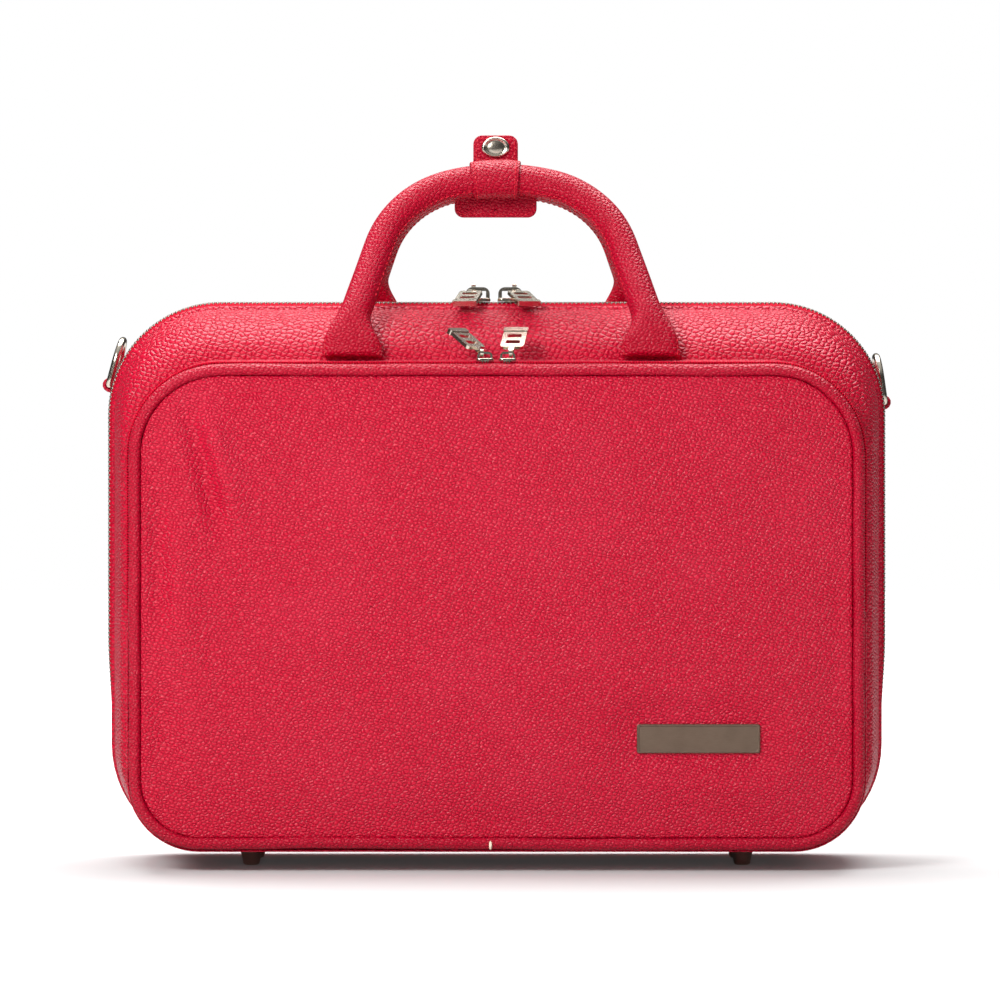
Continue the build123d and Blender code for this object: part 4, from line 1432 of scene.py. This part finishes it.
class Stage:
    """The white floor, the lamps, the surroundings and the camera."""

    def white(self, name: str) -> bpy.types.Material:
        """A white surface that keeps shadows.

        Args:
            name: The material's name.

        Returns:
            The material.
        """
        shader = Shader(name)
        path = shader.tree.nodes.new("ShaderNodeLightPath")
        seen = Socket(shader, path.outputs["Is Camera Ray"])
        seen = seen.at_least(Socket(shader, path.outputs["Is Transmission Ray"]))
        grain = shader.mist(shader.place(), 40.0, 2.0)
        tone = shader.blend(grain, (0.60, 0.60, 0.60, 1.0), (0.62, 0.62, 0.62, 1.0))
        plain = shader.node("ShaderNodeBsdfDiffuse", {}, {"Color": tone})
        far = shader.node("ShaderNodeVectorMath", {"operation": "LENGTH"}, {0: shader.place()}, 1).rise(0.3, 1.3)
        glow = shader.node("ShaderNodeEmission", {}, {"Strength": seen * (0.03 + 1.0 * far)})
        both = shader.node("ShaderNodeAddShader", {}, {0: plain, 1: glow})
        shader.node("ShaderNodeOutputMaterial", {}, {"Surface": both})
        return shader.material

    def floor(self) -> None:
        """A round floor under the case."""
        work = bmesh.new()
        bmesh.ops.create_circle(work, cap_ends=True, segments=96, radius=6.0)
        mesh = bpy.data.meshes.new("floor")
        work.to_mesh(mesh)
        work.free()
        made = bpy.data.objects.new("floor", mesh)
        bpy.context.scene.collection.objects.link(made)
        mesh.materials.append(self.white("white_floor"))
        made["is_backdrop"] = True

    def lamp(
        self, name: str, place: Sequence[float], goal: Sequence[float], size: Sequence[float], power: float,
        gloss: bool = True,
    ) -> None:
        """A soft rectangular lamp.

        Args:
            name: The lamp's name.
            place: Where it stands, in metres.
            goal: The point it faces, in metres.
            size: Its width and height, in metres.
            power: Its power in watts.
            gloss: Whether it shows in reflections.
        """
        data = bpy.data.lights.new(name, "AREA")
        data.shape = "RECTANGLE"
        data.size, data.size_y = size
        data.energy = power
        made = bpy.data.objects.new(name, data)
        made.visible_glossy = gloss
        made.location = place
        made.rotation_euler = (Vector(goal) - Vector(place)).to_track_quat("-Z", "Y").to_euler()
        bpy.context.scene.collection.objects.link(made)

    def surroundings(self) -> None:
        """A white background for the camera, and soft grey light for the case."""
        world = bpy.data.worlds.new("studio")
        bpy.context.scene.world = world
        world.use_nodes = True
        tree = Tree(world.node_tree)
        tree.tree.nodes.clear()
        path = tree.tree.nodes.new("ShaderNodeLightPath")
        seen = Socket(tree, path.outputs["Is Camera Ray"])
        seen = seen.at_least(Socket(tree, path.outputs["Is Transmission Ray"]))
        way = tree.node("ShaderNodeTexCoord", output="Generated")
        height = tree.node("ShaderNodeSeparateXYZ", {}, {0: way}, "Z")
        strength = seen * 1.0 + (1 - seen) * (0.05 + 0.55 * height.rise(0.3, 0.95))
        sky = tree.node("ShaderNodeBackground", {}, {"Color": (1, 1, 1, 1), "Strength": strength})
        tree.node("ShaderNodeOutputWorld", {}, {"Surface": sky})

    def camera(self) -> None:
        """The camera, at the photograph's viewing angle."""
        data = bpy.data.cameras.new("camera")
        data.lens = 157.5
        data.sensor_width = 36.0
        data.clip_start, data.clip_end = 0.1, 50.0
        made = bpy.data.objects.new("camera", data)
        made.location = (0.0015, ZIP_Y * MM - 2.0, 0.165)
        made.rotation_euler = (math.radians(90), 0, 0)
        bpy.context.scene.collection.objects.link(made)
        bpy.context.scene.camera = made

    def build(self) -> None:
        """Set the whole stage."""
        bpy.context.scene.view_settings.view_transform = "Standard"
        self.floor()
        self.surroundings()
        self.lamp("key_lamp", (-0.8, -1.15, 1.0), (-0.05, 0, 0.2), (0.6, 0.6), 15.0)
        self.lamp("near_lamp", (-0.36, -0.75, 0.6), (-0.08, 0, 0.2), (0.3, 0.3), 3.2)
        self.lamp("front_lamp", (0.1, -2.3, 0.5), (0, 0, 0.14), (1.4, 1.0), 13.5, gloss=False)
        self.lamp("top_lamp", (0.0, 0.45, 1.4), (0, 0, 0.1), (1.4, 0.9), 36.0)
        self.camera()


@dataclass
class RopeHandle:
    """One rope handle: a leather tube with a sewn seam inside its bow, flaring to two sewn feet."""

    name: str
    body: str
    foot_y: float
    foot_z: float
    lean: int
    offset: float = 2.0
    crest_height: float = 311.0
    crest_apart: float = 21.2
    crest_r: float = 92.0
    crest_half: float = 15.0
    shoulder_r: float = 45.0
    splay: float = 18.0
    tube_r: float = 6.9
    foot_rise: float = 20.0
    foot_wide: float = 27.0
    foot_thick: float = 6.0

    def __post_init__(self) -> None:
        """Work out the handle's plane and its curve from its sizes."""
        reach = abs(self.foot_y) - self.crest_apart / 2
        rise = self.crest_height - self.foot_z
        tilt = math.atan2(reach, rise)
        self.crest = math.hypot(reach, rise)
        self.up = np.array([0.0, self.lean * math.sin(tilt), math.cos(tilt)])
        self.out = np.array([0.0, -self.up[2], self.up[1]])
        self.origin = np.array([self.offset, ZIP_Y + self.foot_y, self.foot_z])
        self.centre = self.crest - self.crest_r
        turn = math.radians(self.crest_half)
        gap = self.crest_r - self.shoulder_r
        self.shoulder = (gap * math.sin(turn), self.centre + gap * math.cos(turn))
        splay = math.radians(self.splay)
        self.leg_top = (
            self.shoulder[0] + self.shoulder_r * math.cos(splay), self.shoulder[1] + self.shoulder_r * math.sin(splay)
        )
        length = (self.leg_top[1] - self.foot_rise) / math.cos(splay)
        self.leg_end = (self.leg_top[0] + length * math.sin(splay), self.foot_rise)
        self.foot_x = self.leg_end[0] + self.foot_rise * math.sin(splay) * 0.3

    def world(self, flat: np.ndarray, out: Union[float, np.ndarray] = 0.0) -> np.ndarray:
        """Points of the handle's plane in the case's frame.

        Args:
            flat: Each point across and up the plane.
            out: How far each stands in front of the plane.

        Returns:
            The points in three dimensions.
        """
        flat = np.atleast_2d(flat)
        out = np.broadcast_to(out, len(flat))
        across = np.array([1.0, 0.0, 0.0])
        return self.origin + flat[:, :1] * across + flat[:, 1:] * self.up + out[:, None] * self.out

    def bow(self, step: float = 3.0) -> np.ndarray:
        """The centreline's points in the handle's plane, from the left foot's top to the right one's."""
        right = [np.array([0.0, self.crest])]
        for angle in np.radians(np.linspace(90, 90 - self.crest_half, 14)[1:]):
            right.append(np.array([self.crest_r * math.cos(angle), self.centre + self.crest_r * math.sin(angle)]))
        for angle in np.radians(np.linspace(90 - self.crest_half, self.splay, 26)[1:]):
            right.append(np.array(self.shoulder) + self.shoulder_r * np.array([math.cos(angle), math.sin(angle)]))
        right.append(np.array(self.leg_end))
        half = np.array(right)
        left = half[::-1] * np.array([-1.0, 1.0])
        return evened(np.vstack([left[:-1], half]), step)

    def tube(self) -> bpy.types.Object:
        """The tube and both feet as one closed leather piece."""
        bow = self.bow()
        angles = np.radians(np.arange(0, 360, 15))
        rows: list[np.ndarray] = []
        feet = [self.foot_rows(-1, angles), self.foot_rows(1, angles)]
        rows.extend(feet[0][::-1])
        for k, point in enumerate(bow):
            before, after = bow[max(k - 1, 0)], bow[min(k + 1, len(bow) - 1)]
            tangent = (after - before) / np.linalg.norm(after - before)
            normal = np.array([-tangent[1], tangent[0]])
            radius = self.tube_r * (1 + 0.012 * ripple(self.world(point), 16, 2.0)[0])
            seam = 1 + 0.075 * np.exp(-(((angles - math.pi) / 0.16) ** 2))
            flat = point + normal * (radius * seam * np.cos(angles))[:, None]
            rows.append(self.world(flat, radius * seam * np.sin(angles)))
        rows.extend(feet[1])
        skin = Skin().rows(rows, around=True)
        skin.shut_rows()
        piece = skin.make(f"{self.name}_tube")
        return modified(piece, "SUBSURF", levels=1, render_levels=1)

    def foot_rows(self, side: int, angles: np.ndarray) -> list[np.ndarray]:
        """One foot's rows, from under the tube down to its flat sewn end.

        Args:
            side: -1 for the left foot, 1 for the right one.
            angles: The angles of a row's points.

        Returns:
            The rows, top first, each starting on the bow's outer side.
        """
        rows = []
        end = np.array([side * self.leg_end[0], self.leg_end[1]])
        splay = math.radians(self.splay)
        shift = self.foot_x - self.leg_end[0]
        for height in (18.5, 16.5, 14.0, 11.5, 9.0, 6.5, 4.2, 2.2, 0.4, -1.2, -2.3, -2.75):
            share = 1 - height / self.foot_rise
            bend = self.foot_rise * math.tan(splay) * share * max(1 - share, 0.0) ** 1.6 + shift * min(share, 1.0) ** 2
            middle = np.array([end[0] + side * bend, height])
            tall = float(eased(np.array(share * 1.05)))
            wide = self.tube_r + (self.foot_wide / 2 - self.tube_r) * tall
            thick = self.tube_r + (self.foot_thick / 2 - self.tube_r) * min(1.0, share * 1.04) ** 1.25
            if height < -2.0:
                thick *= 0.6 if height > -2.5 else 0.25
            lean = math.sin(splay) * max(1 - share, 0.0)
            cos, sin = np.cos(angles), np.sin(angles)
            full = 2 + 1.6 * tall
            reach = wide * np.sign(cos) * np.abs(cos) ** (2 / full)
            depth = thick * np.sign(sin) * np.abs(sin) ** (2 / full)
            flange = eased((np.abs(reach) - (wide - 3.2)) / 1.6) * eased(np.array((share - 0.72) / 0.2))
            depth = depth * (1 - 0.62 * flange)
            rows.append(self.world(middle + np.stack([side * reach, reach * lean], axis=1), depth))
        return rows

    def stitch_lines(self) -> list[np.ndarray]:
        """Two lines of stitches beside the seam inside the bow, and one up each foot's edge."""
        bow = self.bow(1.5)[6:-6]
        tangent = np.gradient(bow, axis=0)
        tangent /= np.linalg.norm(tangent, axis=1)[:, None]
        normal = np.stack([-tangent[:, 1], tangent[:, 0]], axis=1)
        lines = []
        for turn in (158, 202):
            angle = math.radians(turn)
            flat = bow + normal * (self.tube_r * 1.015 * math.cos(angle))
            lines.append(self.world(flat, self.tube_r * 1.015 * math.sin(angle)))
        for side in (-1, 1):
            for edge in (-1, 1):
                heights = np.linspace(4.5, -1.8, 8)
                x = side * self.foot_x + edge * (self.foot_wide / 2 - 1.5)
                flat = np.stack([np.full(8, x), heights], axis=1)
                lines.append(self.world(flat, self.foot_thick / 2 * 0.52))
        return lines

    def build(self, tool: RepeatTool, stitch: bpy.types.Object) -> None:
        """Make the tube with its feet, and the stitches along its seams.

        Args:
            tool: The tool that repeats stitches.
            stitch: The shape of one stitch.
        """
        nodes = (f"{self.name}_grip", f"{self.name}_handle_feet")
        dress(self.tube(), Finish.HANDLE, self.body, *nodes)
        lines = self.stitch_lines()
        sewn = tool.run(f"{self.name}_handle_stitches", lines, stitch, 2.6, Finish.THREAD, tuple(self.out), 0.15, 3)
        dress(sewn, Finish.THREAD, self.body)


def stitch_shape() -> bpy.types.Object:
    """One stitch: a short fat thread that dips at both ends."""
    skin = Skin()
    rows = []
    for z, radius, lift in ((-0.85, 0.1, -0.16), (-0.55, 0.24, 0.0), (0.0, 0.29, 0.05), (0.55, 0.24, 0.0), (0.85, 0.1, -0.16)):
        turn = np.radians(np.arange(0, 360, 60))
        rows.append(np.stack([radius * np.cos(turn), radius * np.sin(turn) + lift, np.full(6, z)], axis=1))
    skin.rows(rows, around=True)
    skin.shut_rows()
    shape = skin.make("stitch")
    shape.hide_render = True
    return shape


def flat_sheet(
    name: str, edge: np.ndarray, place: Callable[[np.ndarray, float], np.ndarray], thick: float, soft: float = 0.45
) -> bpy.types.Object:
    """A flat leather piece with softly rounded edges and a slightly full face.

    Args:
        name: The piece's name.
        edge: Its outline, as points in its own plane.
        place: Puts plane points, with a height over the plane, into the case's frame.
        thick: Its thickness.
        soft: The radius of its edges.

    Returns:
        The closed piece.
    """
    middle = edge.mean(axis=0)
    away = edge - middle
    size = np.linalg.norm(away, axis=1)[:, None]
    rows = []
    for by, height in (
        (0.0, thick / 2), (0.12 * soft, thick - soft * 0.6), (soft * 0.6, thick - soft * 0.12), (soft * 1.4, thick),
        (2.2, thick + 0.06), (3.4, thick + 0.12),
    ):
        rows.append(place(edge - away / size * by, height))
    rows.append(place(middle + away * 0.5, thick + 0.15))
    rows.append(place(middle + away * 0.22, thick + 0.15))
    under = []
    for by, height in ((0.12 * soft, soft * 0.6), (soft * 0.6, soft * 0.12), (soft * 1.4, 0.0)):
        under.append(place(edge - away / size * by, height))
    under.append(place(middle + away * 0.22, 0.0))
    skin = Skin().rows(under[::-1] + rows, around=True)
    skin.shut_rows()
    return skin.make(name)


def rounded(size: Sequence[float], centre: Sequence[float], corners: Sequence[float], steps: int = 6) -> np.ndarray:
    """A rectangle's outline with its own radius at each corner.

    Args:
        size: Its width and height.
        centre: Its middle.
        corners: Radii: lower left, upper left, upper right, lower right.
        steps: Steps round each corner.

    Returns:
        The outline's points, clockwise.
    """
    wide, tall = size[0] / 2, size[1] / 2
    points = []
    for number, (sx, sz) in enumerate(((-1, -1), (-1, 1), (1, 1), (1, -1))):
        radius = corners[number]
        x, z = centre[0] + sx * (wide - radius), centre[1] + sz * (tall - radius)
        for k in range(steps + 1):
            angle = math.radians(270 - 90 * number - 90 * k / steps)
            points.append((x + radius * math.cos(angle), z + radius * math.sin(angle)))
    points.append(points[0])
    return evened(np.array(points), 0.9)[:-1]


@dataclass
class Keeper:
    """The leather keeper between both handles, with its snap."""

    front: RopeHandle
    rear: RopeHandle
    x: float = -0.5
    sleeve_wide: float = 21.6
    sleeve_thick: float = 1.6
    fit: float = 0.05
    sheet_rear: float = 0.1
    sheet_thick: float = 1.8
    pad: tuple[float, float] = (37.5, 13.0)
    pad_low: float = 294.0
    tab: tuple[float, float] = (20.4, 12.0)
    tab_root: float = 319.6
    snap_z: float = 326.0
    cap: tuple[float, float, float] = (6.45, 4.8, 1.7)

    def upright(self, rear: float) -> Callable[[np.ndarray, float], np.ndarray]:
        """A placing of plane points on an upright sheet whose rear face is at a depth."""
        return lambda flat, height: standing(flat, rear + height)

    def sleeve(self, handle: RopeHandle) -> Skin:
        """A leather sleeve round a handle's crest, with rounded edges.

        Args:
            handle: The handle that it goes round.

        Returns:
            The sleeve's skin.
        """
        inner = handle.tube_r + self.fit + 0.12
        outer = handle.tube_r + self.fit + self.sleeve_thick
        half = self.sleeve_wide / 2
        profile = (
            (-half + 0.5, inner), (-half + 0.1, inner + 0.25), (-half, outer - 0.6), (-half + 0.25, outer - 0.15),
            (-half + 0.8, outer), (-half + 1.6, outer - 0.12), (-half + 2.6, outer + 0.1), (-half / 2, outer + 0.18),
            (0.0, outer + 0.2), (half / 2, outer + 0.18), (half - 2.6, outer + 0.1), (half - 1.6, outer - 0.12),
            (half - 0.8, outer), (half - 0.25, outer - 0.15), (half, outer - 0.6), (half - 0.1, inner + 0.25),
            (half - 0.5, inner),
        )
        rows = []
        angles = np.radians(np.arange(0, 360, 9))
        start = math.asin((self.x - handle.offset) / handle.crest_r)
        for along, radius in profile:
            turn = math.pi / 2 - start - along / handle.crest_r
            spot = np.array([math.cos(turn), math.sin(turn)])
            flat = np.array([0.0, handle.centre]) + spot * (handle.crest_r + radius * np.cos(angles))[:, None]
            rows.append(handle.world(flat, radius * np.sin(angles)))
        return Skin().rows(rows, around=True, shut=True)

    def sleeve_stitches(self, handle: RopeHandle) -> list[np.ndarray]:
        """Stitch lines along both edges of a sleeve's outer side."""
        lines = []
        radius = handle.tube_r + self.fit + self.sleeve_thick - 0.02
        angles = np.radians(np.linspace(-20, 200, 60))
        start = math.asin((self.x - handle.offset) / handle.crest_r)
        for along in (-self.sleeve_wide / 2 + 1.6, self.sleeve_wide / 2 - 1.6):
            turn = math.pi / 2 - start - along / handle.crest_r
            spot = np.array([math.cos(turn), math.sin(turn)])
            flat = np.array([0.0, handle.centre]) + spot * (handle.crest_r + radius * np.cos(angles))[:, None]
            lines.append(handle.world(flat, radius * np.sin(angles)))
        return lines

    def edge_line(self, size: Sequence[float], centre: Sequence[float], corners: Sequence[float], depth: float,
                  inset: float = 1.5) -> np.ndarray:
        """A stitch line round a sheet, a little inside its edge."""
        small = (size[0] - 2 * inset, size[1] - 2 * inset)
        flat = rounded(small, centre, [max(c - inset, 0.8) for c in corners], 8)
        return standing(flat, depth)

    def snap_cap(self) -> bpy.types.Object:
        """The oval cap: a rolled rim round a slightly domed plate."""
        wide, tall, thick = self.cap
        turn = np.radians(np.arange(0, 360, 7.5))
        face = self.sheet_rear + self.sheet_thick
        rows = []
        for share, height in (
            (0.9, 0.0), (1.0, 0.25), (1.0, 0.75), (0.96, 1.2), (0.88, 1.5), (0.79, 1.5), (0.72, 1.25), (0.69, 0.85),
            (0.64, 0.8), (0.5, 1.0), (0.3, 1.15), (0.1, 1.2), (0.01, 1.2),
        ):
            flat = np.stack([self.x + wide * share * np.cos(turn), self.snap_z + tall * share * np.sin(turn)], axis=1)
            rows.append(standing(flat, face + min(height, thick)))
        skin = Skin().rows(rows, around=True)
        skin.shut_rows()
        return skin.make("snap_cap_oval")

    def build(self, tool: RepeatTool, stitch: bpy.types.Object) -> None:
        """Make the sleeves, the upright sheets, the tab and its snap.

        Args:
            tool: The tool that repeats stitches.
            stitch: The shape of one stitch.
        """
        rear, thick = self.sheet_rear, self.sheet_thick
        dress(self.sleeve(self.front).make("keeper_sleeve"), Finish.HANDLE, "front_handle", "keeper_strap")
        riser_top = self.tab_root - thick / 2 - 0.25
        pad_middle = (self.x, self.pad_low + self.pad[1] / 2)
        pad = flat_sheet("keeper_pad", rounded(self.pad, pad_middle, (4, 4, 4, 4)), self.upright(rear), thick)
        riser_size = (self.tab[0], riser_top - self.pad_low - 6)
        riser_middle = (self.x, (riser_top + self.pad_low + 6) / 2)
        riser = flat_sheet("riser", rounded(riser_size, riser_middle, (0.5,) * 4), self.upright(rear + 0.02), thick - 0.3)
        sheets = joined("keeper_sheets", [pad, riser])
        dress(sheets, Finish.HANDLE, "front_handle", "keeper_sheet")
        front_face = rear + thick + 0.1
        lines = [self.edge_line(self.pad, pad_middle, (4, 4, 4, 4), front_face)]
        lines += self.sleeve_stitches(self.front)
        sewn = tool.run("keeper_stitches", lines, stitch, 2.3, Finish.THREAD, (0, -1, 0), 0.1, 5)
        dress(sewn, Finish.THREAD, "front_handle")
        tab_size = (self.tab[0], self.tab[1] + 0.8)
        tab_middle = (self.x, self.tab_root + self.tab[1] / 2 - 0.4)
        tab = flat_sheet("snap_tab_sheet", rounded(tab_size, tab_middle, (0.6, 4, 4, 0.6)), self.upright(rear), thick)
        dress(tab, Finish.HANDLE, "snap_tab", "snap_tab")
        line = self.edge_line(tab_size, tab_middle, (0.6, 4, 4, 0.6), front_face)
        dress(tool.run("tab_stitches", [line], stitch, 2.3, Finish.THREAD, (0, -1, 0), 0.1, 6), Finish.THREAD, "snap_tab")
        dress(self.snap_cap(), Finish.NICKEL, "snap_tab", "snap_cap")
        back = self.sleeve(self.rear).make("rear_sleeve")
        top = self.tab_root + self.tab[1]
        size, middle = (self.tab[0], top - 318.0), (self.x, (top + 318.0) / 2)
        upper = flat_sheet("rear_sheet", rounded(size, middle, (0.5, 4, 4, 0.5)), self.upright(-2.04), 1.3)
        dress(joined("rear_keeper_leather", [back, upper]), Finish.HANDLE, "rear_handle", "rear_keeper")
        finish_node("snap_stud", Finish.NICKEL)


@dataclass
class RingMount:
    """A D ring in its folded leather tab."""

    side: int
    name: str
    height: float
    x: float = 178.2
    depth: float = -22.0
    wide: float = 16.0
    thick: float = 1.6
    drop: float = 26.0
    wire: float = 1.6

    def build(self, tool: RepeatTool, stitch: bpy.types.Object) -> None:
        """Make the tab with its stitches, and finish the ring.

        Args:
            tool: The tool that repeats stitches.
            stitch: The shape of one stitch.
        """
        loop = self.wire + 0.15 + self.thick / 2
        bar = self.side * self.x
        path = []
        top = self.height
        for z in np.linspace(top - self.drop, top, 12):
            path.append((bar - self.side * (loop + 0.1), z))
        for turn in np.radians(np.linspace(180, -90, 16)[1:]):
            path.append((bar + self.side * loop * math.cos(turn), top + loop * math.sin(turn)))
        path.append((bar - self.side * 1.3, top - loop - 0.4))
        line = evened(np.array(path), 1.2)
        tangent = np.gradient(line, axis=0)
        tangent /= np.linalg.norm(tangent, axis=1)[:, None]
        normal = np.stack([-tangent[:, 1], tangent[:, 0]], axis=1) * self.side
        half, thick = self.wide / 2, self.thick / 2
        rows = []
        for across, lift in (
            (-half + 0.5, thick), (-half + 0.1, thick * 0.7), (-half, 0.0), (-half + 0.1, -thick * 0.7),
            (-half + 0.5, -thick), (0.0, -thick), (half - 0.5, -thick), (half - 0.1, -thick * 0.7), (half, 0.0),
            (half - 0.1, thick * 0.7), (half - 0.5, thick), (half - 2.2, thick + 0.05), (0.0, thick + 0.1),
            (-half + 2.2, thick + 0.05),
        ):
            rows.append(standing(line + normal * lift, self.depth + across))
        piece = Skin().rows(rows, around=False, shut=True, ends=True).make(f"{self.name}_tab_leather")
        dress(piece, Finish.HANDLE, "base", f"{self.name}_tab")
        stitches = []
        heights = np.linspace(top - self.drop + 1.8, top - 5, 20)
        out = bar - self.side * (loop + 0.1) + self.side * (thick + 0.05)
        for across in (-half + 1.7, half - 1.7):
            flat = np.stack([np.full(20, out), heights], axis=1)
            stitches.append(standing(flat, self.depth + across))
        low = np.linspace(-half + 1.7, half - 1.7, 8)
        stitches.append(np.stack([np.full(8, out), ZIP_Y - self.depth - low, np.full(8, heights[0])], axis=1))
        sewn = tool.run(f"{self.name}_stitches", stitches, stitch, 2.4, Finish.THREAD, (self.side, 0, 0), 0.1, 8)
        dress(sewn, Finish.THREAD, "base")
        finish_node(self.name, Finish.NICKEL)


@dataclass
class FootPatches:
    """The leather patches under one handle's feet."""

    handle: RopeHandle
    node: str
    depth: float
    low: float
    high: float
    thick: float
    flat_top: bool = False

    def build(self) -> None:
        """Make both patches."""
        parts = []
        wide = self.handle.foot_wide + 2
        for side in (-1, 1):
            middle = self.handle.offset + side * self.handle.foot_x
            if self.flat_top:
                edge = rounded((wide, 7.0), (middle, -self.depth), (1.2,) * 4)

                def place(flat: np.ndarray, height: float) -> np.ndarray:
                    """Lay the patch on the top of the base."""
                    return np.stack([flat[:, 0], ZIP_Y + flat[:, 1], np.full(len(flat), self.low + height)], axis=1)

                parts.append(flat_sheet("patch", edge, place, self.thick))
            else:
                size, centre = (wide, self.high - self.low), (middle, (self.high + self.low) / 2)
                edge = rounded(size, centre, (0.6,) * 4)
                parts.append(flat_sheet("patch", edge, lambda f, h: standing(f, self.depth + h), self.thick))
        piece = joined(f"{self.handle.name}_foot_patches", parts)
        dress(piece, Finish.LEATHER, self.handle_side(), self.node)

    def handle_side(self) -> str:
        """The half of the case that carries the patches."""
        return "lid" if self.handle.name == "front" else "base"


def build_handles(tool: RepeatTool) -> None:
    """Make both handles, their keeper, their patches, the D rings and the feet.

    Args:
        tool: The tool that repeats stitches.
    """
    stitch = stitch_shape()
    front = RopeHandle("front", "front_handle", -38.5, 231.8, 1)
    rear = RopeHandle("rear", "rear_handle", 36.0, 251.8, -1)
    for handle in (front, rear):
        handle.build(tool, stitch)
    Keeper(front, rear).build(tool, stitch)
    FootPatches(front, "front_handle_patches", 33.6, 227.0, 230.4, 1.7).build()
    FootPatches(rear, "rear_handle_patches", -35.5, 245.6, 248.4, 2.6, True).build()
    RingMount(-1, "left_ring", 218.0).build(tool, stitch)
    RingMount(1, "right_ring", 210.0).build(tool, stitch)
    for node in ("lid_feet", "base_feet"):
        finish_node(node, Finish.NICKEL)
    drop_shape(stitch)


def main() -> None:
    """Build the case piece by piece, then set the stage."""
    logging.basicConfig(level=logging.INFO, format="%(name)s: %(message)s")
    tool = RepeatTool()
    Shell("lid", 1, ((20.0, 2.2, 0.0, 6.0), (34.0, 6.2, 2.5, 21.2)), crown=0.6).build()
    Shell("base", -1, ((28.0, 0.8, 0.0, 1.5), (46.0, 8.0, 4.0, 12.0)), crown=1.6, seed=9.0).build()
    HingeStrip().build()
    Tray().build()
    LidPad().build()
    MainZip().build(tool)
    Pocket().build(tool)
    build_handles(tool)
    Stage().build()
    [[list(corner) for corner in box] for box in (cad_box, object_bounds())]


if __name__ == "__main__":
    main()
